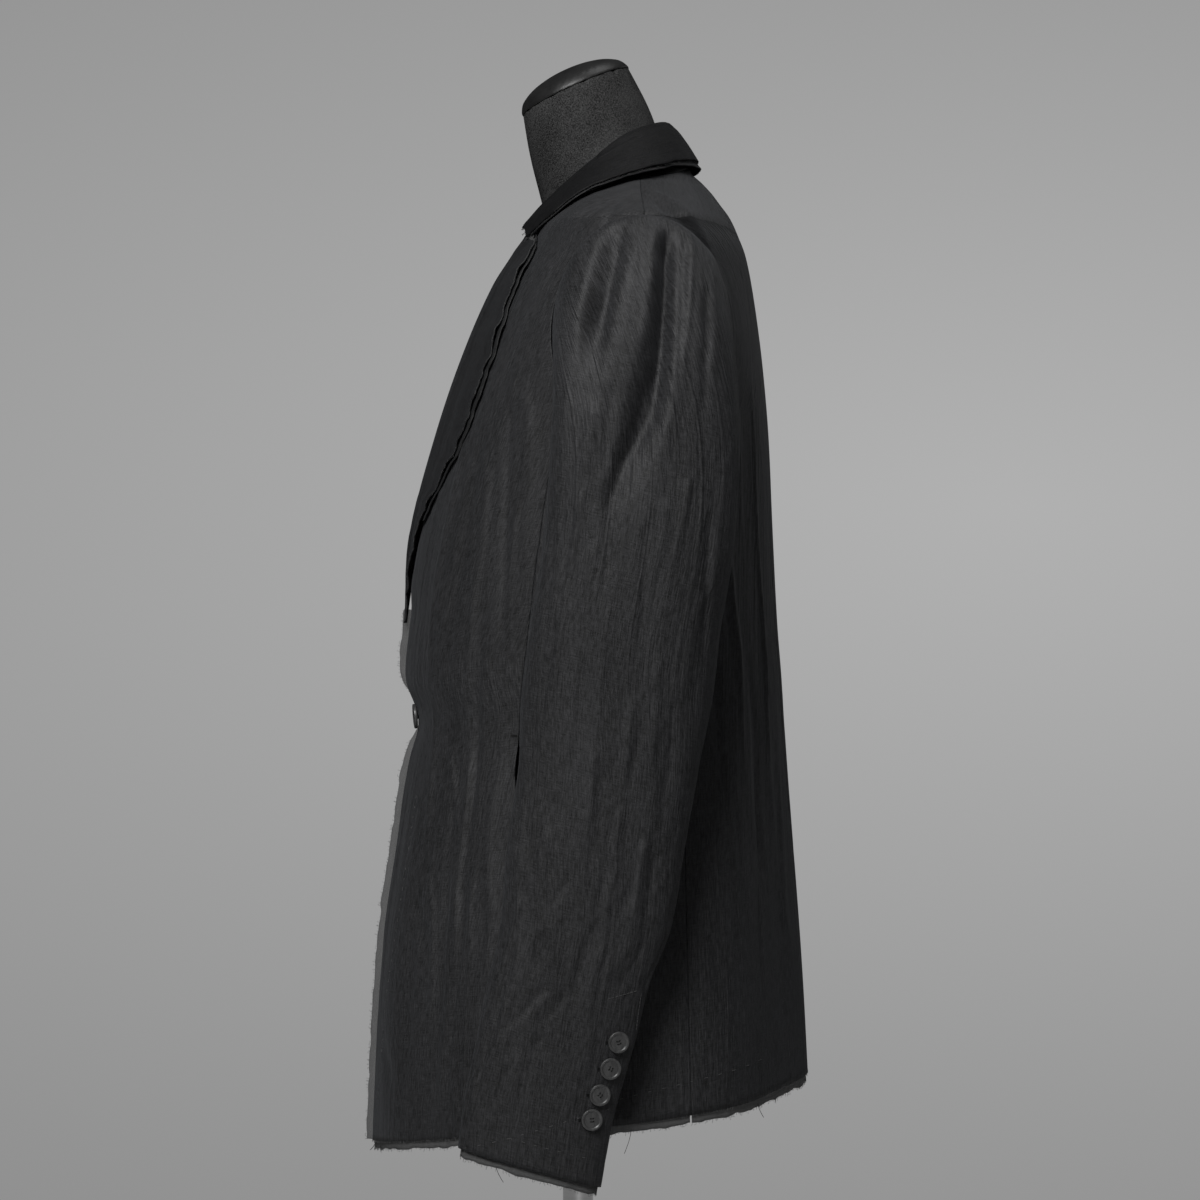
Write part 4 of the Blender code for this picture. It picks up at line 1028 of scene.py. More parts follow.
def sleeve_crease(grid, turns, side, seed):
    y, z = grid[..., 1], grid[..., 2]
    turn = np.broadcast_to(turns, y.shape)
    outer = ease(0.0, 0.25, np.sin(2 * np.pi * turn))
    inner = ease(0.0, 0.25, -np.sin(2 * np.pi * turn))
    moved = y if side > 0 else y - RIGHT_SLEEVE_SHIFT
    height = outer * path_height(SLEEVE_PATHS, moved, z)
    height += inner * INNER_SHARE * path_height(SLEEVE_PATHS, INNER_MIRROR_Y - moved, z - 0.01)
    height += crease_height(crinkles(seed, SLEEVE_CRINKLES), turn * SLEEVE_WAY_ROUND, z)
    # Interfacing keeps the cuff plain beside its vent.
    vent = outer * ease(VENT_TOP_HEIGHT, VENT_TOP_HEIGHT - 0.012, z)
    vent = vent * ease(0, 0.010, y - VENT_FRONT_Y - (z - CUFF_HEIGHT) * VENT_LEAN)
    return height * (1 - VENT_PLAIN * vent)


def sleeve_piece(node, start, end, side, seed):
    turns = np.linspace(end, start, steps(abs(end - start) * SLEEVE_WAY_ROUND) + 1)
    flat = sleeve_grid(turns, SLEEVE_ROWS)
    rows = np.linspace(0, 1, SLEEVE_ROWS)[:, None]
    across = np.linspace(0, 1, len(turns))[None, :]
    held = 0.15 + 0.85 * np.minimum(ease(0, 0.05, across) * ease(0, 0.05, 1 - across),
                                    ease(0, 0.030, 1 - rows))
    crease = sleeve_crease(flat, turns, side, seed) * held
    creased = flat + grid_normals(flat) * crease[..., None]
    cloth("cloth_" + node, creased, flat, side, node=[node], held="hung")


SleevePart = namedtuple("SleevePart", "name start end seed")
SLEEVE_PARTS = (
    SleevePart("sleeve_top", SLEEVE_BACK_SEAM - 1, SLEEVE_FRONT_SEAM, 51),
    SleevePart("sleeve_under", SLEEVE_FRONT_SEAM, SLEEVE_BACK_SEAM, 71),
)
for side_name, side in SIDES.items():
    for part in SLEEVE_PARTS:
        node = f"{part.name}_{side_name}"
        sleeve_piece(node, part.start + SLEEVE_SEAM, part.end - SLEEVE_SEAM, side, part.seed + side)


# %% [markdown]
# ## Lapels
# The lapel is the front's own cloth, rolled back along the roll line and pressed nearly flat. Its
# outer edge is cut raw, so it waves. A short table gives the section across the roll, and another
# the reach at each height. A second raw layer lies under it and shows past its edge.

# %% Lapels
NOTCH_HEIGHT = 1.166
NOTCH_DROP = 0.012            # the lapel's corner lies lower than its start at the roll
LAPEL_START_LEFT = 0.010
LAPEL_START_RIGHT = 0.055
LAPEL_START_SHARE = 0.30
LAPEL_START_LENGTH = 0.07
LAPEL_END_SHARE = 0.6
UNDER_LAPEL_START = 0.097
UNDER_LAPEL_PROUD = 0.0048
UNDER_LAPEL_TUCK = 0.016
UNDER_LAPEL_INNER = 0.006
UNDER_LAPEL_OUT = 0.0022
UNDER_WALL = 0.0008           # the under layers are pressed thinner
LAPEL_GRID = (57, 118)        # columns and rows
UNDER_LAPEL_GRID = (15, 112)
LAPEL_WAVE_SEED = 5           # both layers of a lapel wave and curl together
LAPEL_CURL_SEED = 8

Lapel = namedtuple("Lapel", "z reach")
LAPEL = (
    Lapel(0.850, 0.006),
    Lapel(0.900, 0.012),
    Lapel(0.925, 0.028),
    Lapel(0.950, 0.052),
    Lapel(0.975, 0.074),
    Lapel(1.005, 0.088),
    Lapel(1.060, 0.086),
    Lapel(1.120, 0.068),
    Lapel(1.166, 0.052),
)
LapelPoint = namedtuple("LapelPoint", "at distance share out")
LAPEL_SECTION = (
    LapelPoint(0 / 7, -0.0014, 0.0, -0.0006),
    LapelPoint(1 / 7, -0.0040, 0.0, 0.0024),
    LapelPoint(2 / 7, -0.0030, 0.0, 0.0066),
    LapelPoint(3 / 7, 0.0020, 0.0, 0.0086),
    LapelPoint(4 / 7, 0.0010, 0.25, 0.0080),
    LapelPoint(5 / 7, 0.0, 0.50, 0.0062),
    LapelPoint(6 / 7, 0.0, 0.75, 0.0048),
    LapelPoint(7 / 7, 0.0, 1.0, 0.0040),
)
LAPEL_REACH = curve(LAPEL, "reach")


def raw_wave(length, seed, size=0.0012):
    """Uneven wave of a raw edge at places along it, in metres."""
    rng = np.random.default_rng(seed)
    wave = np.zeros_like(length)
    for period, share in ((0.047, 0.8), (0.026, 0.9), (0.015, 0.5), (0.008, 0.3)):
        steady = 0.65 + 0.35 * np.sin(length * 2 * np.pi / (period * 4.3) + rng.uniform(0, 6))
        wave += share * steady * np.sin(length * 2 * np.pi / period + rng.uniform(0, 6))
    return wave * size


LAPEL_CREASES = (
    Crease(0.60, 1.150, 0.200, 0.030, 1.0, -0.02),
    Crease(0.72, 1.090, 0.180, 0.025, -0.8, 0.03),
    Crease(0.84, 1.050, 0.150, 0.030, 1.1, 0.02),
    Crease(0.66, 0.990, 0.110, 0.025, -0.9, 0.05),
    Crease(0.55, 1.040, 0.190, 0.012, 1.2, 0.0),
    Crease(0.93, 1.140, 0.200, 0.014, -1.0, 0.0),
)


def lapel_grid(side, wavy):
    low = BREAK_HEIGHT + (LAPEL_START_LEFT if side > 0 else LAPEL_START_RIGHT)
    across, up = np.meshgrid(*(np.linspace(0, 1, count) for count in LAPEL_GRID))
    z = blend(low, NOTCH_HEIGHT - NOTCH_DROP * across ** 1.5, up)
    place = {name: curve(LAPEL_SECTION, name)(across) for name in LapelPoint._fields[1:]}
    edge = ease(0.45, 1.0, across)
    reach = LAPEL_REACH(z) + wavy * edge * raw_wave(z, LAPEL_WAVE_SEED + side)
    t = share_of_x(z, roll_x(z) + place["distance"] + place["share"] * reach)
    shrink = blend(LAPEL_START_SHARE, 1.0, ease(low, low + LAPEL_START_LENGTH, z))
    shrink = shrink * blend(1.0, LAPEL_END_SHARE, ease(NOTCH_HEIGHT - 0.020, NOTCH_HEIGHT, z))
    curl = wavy * edge * (0.9 * raw_wave(z, LAPEL_CURL_SEED + side) + 0.0012)
    curl += wavy * 0.0007 * crease_height(LAPEL_CREASES, across, z)
    return body_point(z, t, lap_out(t, side) + place["out"] * shrink + curl, side)


def under_lapel_grid(side, wavy):
    low = BREAK_HEIGHT + UNDER_LAPEL_START
    across, up = np.meshgrid(*(np.linspace(0, 1, count) for count in UNDER_LAPEL_GRID))
    z = blend(low, NOTCH_HEIGHT - NOTCH_DROP * across, up) - UNDER_LAPEL_PROUD
    edge = ease(0.3, 1.0, across) * wavy
    reach = LAPEL_REACH(z) + edge * 0.9 * raw_wave(z, LAPEL_WAVE_SEED + side)
    reach = reach + edge * raw_wave(z, 21 + side, 0.0005)
    inner = np.maximum(UNDER_LAPEL_INNER, reach - UNDER_LAPEL_TUCK)
    t = share_of_x(z, roll_x(z) + blend(inner, reach + UNDER_LAPEL_PROUD, across))
    out = UNDER_LAPEL_OUT + edge * (0.0006 + 0.4 * raw_wave(z, LAPEL_CURL_SEED + side))
    return body_point(z, t, lap_out(t, side) + out, side)


# The under layer of each lapel takes a darker copy of the jacket cloth. Its darker tone is painted
# shade for the hollow under the lapel's edge.
SHADED_UNDER_CLOTH = cloth_material("under_cloth", grey(0.004), grey(0.016), 0.3, 0.03)
for side_name, side in SIDES.items():
    on_front = {"held": "folded", "rests_on": [f"cloth_front_{side_name}"]}
    cloth(f"cloth_lapel_{side_name}", lapel_grid(side, 1.0), lapel_grid(side, 0.0), side,
          material=SHADED_FACING, node=[f"lapel_{side_name}"], **on_front)
    cloth(f"cloth_lapel_under_{side_name}", under_lapel_grid(side, 1.0),
          under_lapel_grid(side, 0.0), side, wall=UNDER_WALL, material=SHADED_UNDER_CLOTH,
          node=[f"lapel_under_{side_name}"], **on_front)

# %% [markdown]
# ## Collar
# The collar stands up from the neck seam, folds over and falls to its raw outer edge. Seven stations
# from the centre back to the notch say where its fold and its edge are, and a spline runs
# through them. At each place along it, seven points make the section from the seam over the fold.

# %% Collar
Station = namedtuple("Station", "fold edge")
COLLAR = (
    Station((0.000, 0.0705, 1.2600), (0.000, 0.0985, 1.2290)),
    Station((0.035, 0.0640, 1.2565), (0.048, 0.0880, 1.2260)),
    Station((0.060, 0.0430, 1.2460), (0.084, 0.0660, 1.2180)),
    Station((0.071, 0.0200, 1.2280), (0.104, 0.0370, 1.2080)),
    Station((0.0705, -0.0040, 1.2090), (0.1127, 0.0050, 1.1945)),
    Station((0.0625, -0.0265, 1.1885), (0.1010, -0.0240, 1.1735)),
    Station((0.0560, -0.0385, 1.1745), (0.0800, -0.0400, 1.1610)),
)
SHOULDER_STATION = 3
COLLAR_END_HEIGHT = 1.180
SEAT_GAP = 0.0007
COLLAR_FOLD_DROP = 0.004
COLLAR_FOLD_LEAN = 0.001
COLLAR_FOLD_TOP = 0.003
COLLAR_FOLD_WIDTH = 0.0085
COLLAR_BULGE = 0.004
COLLAR_TIP = (5.2, 6.0)       # stations where the raw edge gets wavier
COLLAR_COLUMNS = 92           # along half of it, and rows from the seam to the edge
COLLAR_ROWS = 42
STATION_STEP = 0.036          # about: from one station to the next
UNDER_COLLAR_IN = 0.0022
UNDER_COLLAR_DROP = 0.0008
UNDER_COLLAR_TUCK = 0.014
UNDER_COLLAR_PROUD = (0.0070, 0.0035)      # at the centre back, and from the second station on
UNDER_COLLAR_ROWS = 10


def station_curve(column, position):
    """Smooth curve through one point of each station, for an array of positions."""
    rows = np.array([getattr(row, column) for row in COLLAR])
    before = rows[1] * np.array([-1, 1, 1])
    after = rows[-1] * 2 - rows[-2]
    rows = np.concatenate([[before], rows, [after]])
    i = np.minimum(position.astype(int), len(COLLAR) - 2)
    s = (position - i)[:, None]
    a, b, c, d = (rows[i + step] for step in range(4))
    bend = (a * 2 - b * 5 + c * 4 - d) * s ** 2
    return (b * 2 + (c - a) * s + bend + (b * 3 - a - c * 3 + d) * s ** 3) / 2


def neck_seam(position):
    """Where the collar is sewn on: the top of the back, then the front's inner edge."""
    at_back = position <= SHOULDER_STATION
    t = blend(1.0, 0.5, np.minimum(1, position / SHOULDER_STATION))
    z = blend(NECK_POINT, NECK_BACK, ease(0.5, 1.0, t))
    back = body_point(z, t, -WALL)
    share = np.maximum(0, (position - SHOULDER_STATION) / (len(COLLAR) - 1 - SHOULDER_STATION))
    z = blend(NECK_POINT, COLLAR_END_HEIGHT, share)
    edge = front_edge(z)
    front = body_point(z, edge - seam_gap(z, edge, WALL + SEAT_GAP - SEAM_HALF_GAP))
    return np.where(at_back[:, None], back, front) + np.array([0, 0, SEAT_GAP])


def both_halves(grid):
    """A grid from the left notch to the centre back, and on to the right notch."""
    return np.concatenate([grid, mirrored(grid[::-1])[1:]])


def collar_grid(wavy):
    """Grid of the collar: rows from the left notch round the back to the right one."""
    position = np.linspace(len(COLLAR) - 1, 0, COLLAR_COLUMNS)
    neck = neck_seam(position)
    fold = station_curve("fold", position)
    edge = station_curve("edge", position)
    outward = unit((edge - neck) * np.array([1, 1, 0]))
    up = np.array([0, 0, 1.0])
    along = position * STATION_STEP
    tip = ease(*COLLAR_TIP, position)
    wave = wavy * (raw_wave(along, 61, 0.0006) + tip * raw_wave(along, 62, 0.0012))
    rings = np.stack([
        neck,
        (neck + fold) / 2,
        fold - up * COLLAR_FOLD_DROP - outward * COLLAR_FOLD_LEAN,
        fold + outward * COLLAR_FOLD_TOP,
        fold - up * COLLAR_FOLD_DROP + outward * COLLAR_FOLD_WIDTH,
        (fold + edge) / 2 + outward * (COLLAR_BULGE + 0.3 * wave[:, None]),
        edge + outward * 0.6 * wave[:, None] + unit(edge - fold) * wave[:, None],
    ])
    return both_halves(smooth_rows(rings, COLLAR_ROWS).transpose(1, 0, 2))


def under_collar_grid(wavy):
    position = np.linspace(len(COLLAR) - 1, 0, COLLAR_COLUMNS)
    fold = station_curve("fold", position)
    edge = station_curve("edge", position)
    down = unit(edge - fold)
    outward = unit(down * np.array([1, 1, 0]))
    base = edge - outward * UNDER_COLLAR_IN - np.array([0, 0, UNDER_COLLAR_DROP])
    proud = blend(*UNDER_COLLAR_PROUD, ease(0, 2, position))
    proud = proud + wavy * raw_wave(position * STATION_STEP, 66, 0.0006)
    share = np.linspace(0, 1, UNDER_COLLAR_ROWS)[None, :, None]
    fall = blend(-UNDER_COLLAR_TUCK, proud[:, None, None], share)
    return both_halves(base[:, None] + down[:, None] * fall)


# The upper collar takes a darker, less glossy copy of the jacket cloth. Its darker tone is painted
# shade for how the light falls on the steep collar, not a different cloth.
SHADED_COLLAR_CLOTH = cloth_material("collar_cloth", grey(0.002, 1.05), grey(0.007, 1.08), 0.35, 0.01,
                              specular=0.22)
on_backs = {"held": "folded", "rests_on": ["cloth_back_left", "cloth_back_right"]}
cloth("cloth_collar", collar_grid(1.0)[:, ::-1], collar_grid(0.0)[:, ::-1],
      material=SHADED_COLLAR_CLOTH, node=["collar_upper"], **on_backs)
cloth("cloth_collar_under", under_collar_grid(1.0)[:, ::-1], under_collar_grid(0.0)[:, ::-1],
      wall=UNDER_WALL, material=SHADED_FACING, node=["collar_under"], **on_backs)

# %% [markdown]
# ## The sheer layer
# Behind the raw hems and front edges lies a thin open layer that shows a few millimetres past the
# black cloth. It is laid on the same body surface, a little further in, and its own edge is cut
# unevenly. It takes a quarter of the creases of the cloth in front of it.

# %% Sheer strips
SHEER_WALL = 0.0006
SHEER_DROP = 0.0019
SHEER_PROUD = 0.0062
SHEER_FRONT_PROUD = 0.0100    # the lapping left edge shows more of it
SHEER_TUCK = 0.012
SHEER_CURL = 1.25             # radians at the free front edge
SHEER_HIDDEN = 0.0008
SHEER_PINCHED = 0.4           # share of its width that the pinch at the button hides
SHEER_CREASING = 0.25         # share of the cloth's creases that it takes
SHEER_FRONT_LOW = HEM_FRONT - 0.003
SHEER_FRONT_HIGH = 0.863
SHEER_HEM_TUCK = 0.014
SHEER_CUFF_IN = 0.0024
SHEER_CUFF_TURNS = (0.994, 0.006)
SHEER_CUFF_ROWS = 5


def sheer_place(kind, z, t, side, lift=0.0):
    out = lift + (front_out(z, t, side) if kind == "front" else 0.0)
    crease = SHEER_CREASING * panel_crease(kind, z, t, side)
    return body_point(z, t, out - SHEER_DROP, side), body_point(z, t, out - SHEER_DROP + crease, side)


def sheer_front_grids(side):
    z, across = np.meshgrid(np.linspace(SHEER_FRONT_LOW, SHEER_FRONT_HIGH, 190),
                            np.linspace(0, 1, 13), indexing="ij")
    proud = (SHEER_FRONT_PROUD if side > 0 else SHEER_PROUD) * ease(*CURL_HEIGHTS, z)
    proud = proud * (1 - SHEER_PINCHED * bell((z - PINCH_HEIGHT) / PINCH_LENGTH))
    proud = proud + raw_wave(z, 90 + side, 0.0005)
    edge = front_edge(z)
    # On the lapping left side the free edge curls forward, so part of its width becomes lift.
    curl = SHEER_CURL * edge_curl(z) if side > 0 else 0.0 * z
    place = blend(-proud, SHEER_TUCK, across)
    free = np.maximum(0, -place - SHEER_HIDDEN)
    t = edge + share_step(z, edge, place + free * (1 - np.cos(curl)))
    return sheer_place("front", z, t, side, free * np.sin(curl))


def sheer_hem_grids(kind, side):
    columns = np.linspace(0.004, 0.996, steps(PANEL_WIDTHS[kind]))
    across, up = np.meshgrid(columns, np.linspace(0, 1, 9))
    low, t = panel_place(kind, across, np.zeros_like(across))
    if kind == "front":
        t = t - share_step(low, t, SHEER_PROUD) * (1 - across)
    proud = SHEER_PROUD + raw_wave(t * HALF_GIRTH, 95 + side, 0.0007)
    return sheer_place(kind, low + blend(-proud, SHEER_HEM_TUCK, up), t, side)


def sheer_cuff_grids(side):
    turns = np.linspace(*SHEER_CUFF_TURNS, 110)
    low = sleeve_grid(turns, SLEEVE_ROWS)[:SHEER_CUFF_ROWS + 1]
    grid = low - grid_normals(low) * SHEER_CUFF_IN
    down = unit(grid[:1] - grid[1:2])
    drop = SHEER_PROUD + raw_wave(turns * SLEEVE_WAY_ROUND, 99 + side, 0.0006)
    below = [grid[:1] + down * (drop * share)[None, :, None] for share in (1.0, 0.66, 0.33)]
    whole = np.concatenate([*below, grid[:SHEER_CUFF_ROWS]])
    return whole, whole


for side_name, side in SIDES.items():
    strips = [("front", sheer_front_grids(side)), ("cuff", sheer_cuff_grids(side))]
    strips += [(f"hem_{kind}", sheer_hem_grids(kind, side)) for kind in PANEL_WIDTHS]
    for name, (flat_grid, creased_grid) in strips:
        cloth(f"sheer_strip_{name}_{side_name}", creased_grid, flat_grid, side, wall=SHEER_WALL,
              material=SHEER_FRONT if name == "front" else SHEER, slot="sheer_cloth",
              node=[f"sheer_{name}_{side_name}"], held="hung")

# %% [markdown]
# ## Working as by hand
# The hard pieces start from a primitive and are shaped in edit mode. An operator acts on whatever is
# selected, so `deselect` clears the selection and `pick` takes faces, edges or points by a rule about
# their place.

# %% Modelling helpers
def deselect():
    for other in bpy.context.selected_objects:
        other.select_set(False)


def select_only(piece):
    deselect()
    piece.select_set(True)
    bpy.context.view_layer.objects.active = piece


def pick(piece, kind, rule):
    """Select in edit mode what the rule accepts, by the middle and the normal of each element."""
    bpy.context.view_layer.objects.active = piece
    if bpy.context.mode != "EDIT_MESH":
        bpy.ops.object.mode_set(mode="EDIT")
    bpy.ops.mesh.select_mode(type=kind)
    bpy.ops.mesh.select_all(action="DESELECT")
    shape = bmesh.from_edit_mesh(piece.data)
    elements = {"FACE": shape.faces, "EDGE": shape.edges, "VERT": shape.verts}[kind]
    for element in elements:
        if kind == "FACE":
            middle, normal = element.calc_center_median(), element.normal
        elif kind == "EDGE":
            middle = (element.verts[0].co + element.verts[1].co) / 2
            normal = (element.verts[1].co - element.verts[0].co).normalized()
        else:
            middle, normal = element.co, element.normal
        element.select_set(bool(rule(middle, normal)))
    shape.select_flush_mode()
    bmesh.update_edit_mesh(piece.data)


def done(piece, angle=40):
    """Leave edit mode and shade the piece, with sharp edges above an angle in degrees."""
    if bpy.context.mode == "EDIT_MESH":
        bpy.ops.object.mode_set(mode="OBJECT")
    select_only(piece)
    bpy.ops.object.transform_apply(location=True, rotation=True, scale=True)
    bpy.ops.object.shade_smooth_by_angle(angle=math.radians(angle))
    deselect()


def apply_modifier(piece, kind, settings):
    select_only(piece)
    modifier = piece.modifiers.new(kind.lower(), kind)
    for key, value in settings.items():
        setattr(modifier, key, value)
    bpy.ops.object.modifier_apply(modifier=modifier.name)


def finish_piece(piece, name, material, nodes=()):
    piece.name = name
    piece.data.name = name
    piece.data.materials.clear()
    piece.data.materials.append(material)
    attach(piece, "root")
    if nodes:
        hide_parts(*nodes)
    return piece


def copy_at(pattern, place):
    """Copy of a pattern piece with its own mesh, moved by a matrix in the mesh itself."""
    mesh = pattern.data.copy()
    mesh.transform(place)
    return add_object(pattern.name, mesh)


print("helpers ready, selected:", len(bpy.context.selected_objects))

# %% [markdown]
# ## Button, thread, plastic and metal
# The buttons are turned from dark horn, a little cloudy. The form is covered in a plain cotton with
# a fine speckle, its cap is smooth plastic, and the stand is polished chrome, toned a little
# unevenly. All of them read object coordinates, because these pieces have no cut.

# %% Hard materials
def object_noise(nodes, scale, detail=2.0, roughness=0.5, stretch=(1, 1, 1)):
    place = nodes.add("TexCoord").outputs["Object"]
    mapping = nodes.add("Mapping", Vector=place, Scale=stretch)
    noise = nodes.add("TexNoise", Vector=mapping.outputs["Vector"], Scale=scale, Detail=detail,
                      Roughness=roughness)
    return noise.outputs["Fac"]


def horn_material():
    nodes = Material("button_horn")
    grain = object_noise(nodes, 420, 4.0, 0.6, (1, 1, 0.3))
    color = nodes.ramp(grain, ((0.30, grey(0.034)), (0.75, grey(0.085))))
    bump = nodes.add("Bump", Strength=0.15, Distance=0.00008, Height=object_noise(nodes, 2600, 2.0))
    return nodes.surface(Base_Color=color, Roughness=0.34, Specular_IOR_Level=0.7,
                         Normal=bump.outputs["Normal"])


def thread_material(name, dark, light):
    nodes = Material(name)
    twist = object_noise(nodes, 2400, 2.0)
    color = nodes.ramp(twist, ((0.3, grey(dark)), (0.7, grey(light))))
    return nodes.surface(Base_Color=color, Roughness=0.65, Specular_IOR_Level=0.3)


def form_material():
    nodes = Material("form_cotton")
    speck = object_noise(nodes, 950, 4.0, 0.75)
    cloud = object_noise(nodes, 22, 3.0)
    tone = nodes.weighed(speck, 0.8, cloud, 0.2)
    color = nodes.ramp(tone, ((0.40, grey(0.004)), (0.62, grey(0.070))))
    bump = nodes.add("Bump", Strength=0.6, Distance=0.0003, Height=speck)
    return nodes.surface(Base_Color=color, Roughness=0.85, Specular_IOR_Level=0.15,
                         Normal=bump.outputs["Normal"])


def gloss_material():
    nodes = Material("cap_gloss")
    haze = object_noise(nodes, 60, 3.0)
    bump = nodes.add("Bump", Strength=0.2, Distance=0.0004, Height=object_noise(nodes, 900, 2.0))
    color = nodes.ramp(haze, ((0.3, grey(0.010)), (0.7, grey(0.020))))
    return nodes.surface(Base_Color=color, Roughness=0.42, Specular_IOR_Level=0.42,
                         Normal=bump.outputs["Normal"])


def chrome_material():
    nodes = Material("stand_chrome")
    brushing = object_noise(nodes, 40, 2.0, 0.5, (1, 1, 30))
    color = nodes.ramp(brushing, ((0.3, grey(0.55)), (0.7, grey(0.60))))
    return nodes.surface(Base_Color=color, Metallic=1.0, Roughness=0.0)


HORN = horn_material()
THREAD_BLACK = thread_material("thread_black", 0.004, 0.012)
THREAD_GREY = thread_material("thread_grey", 0.05, 0.12)
COTTON = form_material()
GLOSS = gloss_material()
CHROME = chrome_material()
print("materials:", len(bpy.data.materials))

# %% [markdown]
# ## Buttons
# A shirt-like horn button has a raised rim, a shallow dish and four holes. One is modelled at the
# cuff size: a disc is inset and pressed down for the dish, its edges are bevelled, and a boolean
# with four pins cuts the holes. Every button of the CAD model then gives its own copy a place: the
# axis of a disc is the direction in which its points spread least.

# %% Button pattern
BUTTON_RADIUS = 0.0082
BUTTON_THICK = 0.0026
BUTTON_RIM = 0.00125
BUTTON_DISH = 0.0007
HOLE_RADIUS = 0.00062
HOLE_PLACE = 0.00115
BUTTON_TOP_EDGE = 0.0004
BUTTON_BACK_EDGE = 0.0008
THREAD_RADIUS = 0.00030
THREAD_DIVE = 0.0006          # how far the ends of the thread go down into the holes


def joined(pieces):
    """One object from several; the last one made is active and keeps its name."""
    for piece in pieces:
        piece.select_set(True)
    bpy.ops.object.join()
    return bpy.context.object


def make_button_pattern():
    deselect()
    bpy.ops.mesh.primitive_cylinder_add(vertices=56, radius=BUTTON_RADIUS, depth=BUTTON_THICK,
                                        location=(0, 0, BUTTON_THICK / 2))
    button = bpy.context.object
    bpy.ops.object.transform_apply(location=True)
    pick(button, "FACE", lambda middle, normal: normal.z > 0.9)
    bpy.ops.mesh.inset(thickness=BUTTON_RIM, use_boundary=True)
    bpy.ops.mesh.inset(thickness=BUTTON_DISH * 1.4, depth=-BUTTON_DISH, use_boundary=True)
    bpy.ops.mesh.inset(thickness=BUTTON_RADIUS * 0.3, depth=BUTTON_DISH * 0.25, use_boundary=True)
    rim = BUTTON_RADIUS - BUTTON_RIM * 1.1
    pick(button, "EDGE", lambda m, way: m.z > BUTTON_THICK * 0.98 and m.to_2d().length > rim)
    bpy.ops.mesh.bevel(offset=BUTTON_TOP_EDGE, segments=3)
    pick(button, "EDGE", lambda m, way: m.z < 0.0001 and m.to_2d().length > rim)
    bpy.ops.mesh.bevel(offset=BUTTON_BACK_EDGE, segments=3)
    bpy.ops.object.mode_set(mode="OBJECT")
    deselect()
    pins = []
    for x, y in ((1, 1), (1, -1), (-1, 1), (-1, -1)):
        bpy.ops.mesh.primitive_cylinder_add(vertices=20, radius=HOLE_RADIUS, depth=0.01,
                                            location=(x * HOLE_PLACE, y * HOLE_PLACE, 0))
        pins.append(bpy.context.object)
    cutter = joined(pins)
    apply_modifier(button, "BOOLEAN", {"object": cutter, "operation": "DIFFERENCE",
                                       "solver": "EXACT"})
    bpy.data.objects.remove(cutter)
    done(button, 35)
    return button


def make_thread_pattern():
    """Two short runs of thread between the holes, with ends that dive into them."""
    deselect()
    runs = []
    for side in (-1, 1):
        bpy.ops.mesh.primitive_cylinder_add(vertices=10, radius=THREAD_RADIUS, depth=HOLE_PLACE * 2.5,
                                            location=(0, side * HOLE_PLACE, BUTTON_THICK - 0.0004),
                                            rotation=(0, math.pi / 2, 0))
        run = bpy.context.object
        bpy.ops.object.transform_apply(location=True, rotation=True)
        pick(run, "EDGE", lambda m, way: abs(way.x) > 0.9)
        bpy.ops.mesh.subdivide(number_cuts=5)
        pick(run, "VERT", lambda m, n: abs(m.x) > HOLE_PLACE * 0.9)
        bpy.ops.transform.translate(value=(0, 0, -THREAD_DIVE))
        bpy.ops.object.mode_set(mode="OBJECT")
        deselect()
        runs.append(run)
    both = joined(runs)
    done(both, 60)
    return both


button_pattern = make_button_pattern()
thread_pattern = make_thread_pattern()
print("button triangles:", sum(len(p.vertices) - 2 for p in button_pattern.data.polygons))


# %% Buttons in their places
def disc_place(node, out):
    """Matrix that puts a disc modelled on the floor where a CAD disc lies; out is its outer side."""
    disc = bpy.data.objects[node]
    spots = np.array([disc.matrix_world @ v.co for v in disc.data.vertices])
    spots = np.unique(spots.round(6), axis=0)
    middle = spots.mean(axis=0)
    frame_axes = np.linalg.svd(spots - middle)[2]
    shares = (spots - middle) @ frame_axes.T
    low, high = shares.min(axis=0), shares.max(axis=0)
    middle = middle + ((low + high) / 2) @ frame_axes
    radius = (high[0] - low[0]) / 2
    axis = Vector(frame_axes[2])
    if axis.dot(Vector(out)) < 0:
        axis = -axis
    foot = Vector(middle) - axis * float(high[2] - low[2]) / 2
    turn = axis.to_track_quat("Z", "Y").to_matrix().to_4x4()
    grow = radius / BUTTON_RADIUS
    return Matrix.Translation(foot) @ turn @ Matrix.Diagonal((grow, grow, 1.0, 1.0))


CUFF_BUTTONS = (1, 2, 3, 4)
BUTTON_NODES = [f"button_cuff_{side_name}_{number}" for side_name in SIDES for number in CUFF_BUTTONS]
BUTTON_NODES.append("button_front")
BUTTON_TURNS = (0.35, 1.1, 0.9, 0.05, 0.6, 1.4, 0.2, 0.8)
button_places = {}
for number, node in enumerate(BUTTON_NODES):
    out = (0, -1, 0) if node == "button_front" else (1 if "left" in node else -1, 0, 0)
    place = disc_place(node, out)
    turned = place @ Matrix.Rotation(BUTTON_TURNS[number % len(BUTTON_TURNS)], 4, "Z")
    button_places[node] = place
    finish_piece(copy_at(button_pattern, turned), "horn_" + node, HORN, [node])
    finish_piece(copy_at(thread_pattern, turned), "thread_" + node, THREAD_BLACK)
for pattern in (button_pattern, thread_pattern):
    bpy.data.objects.remove(pattern)

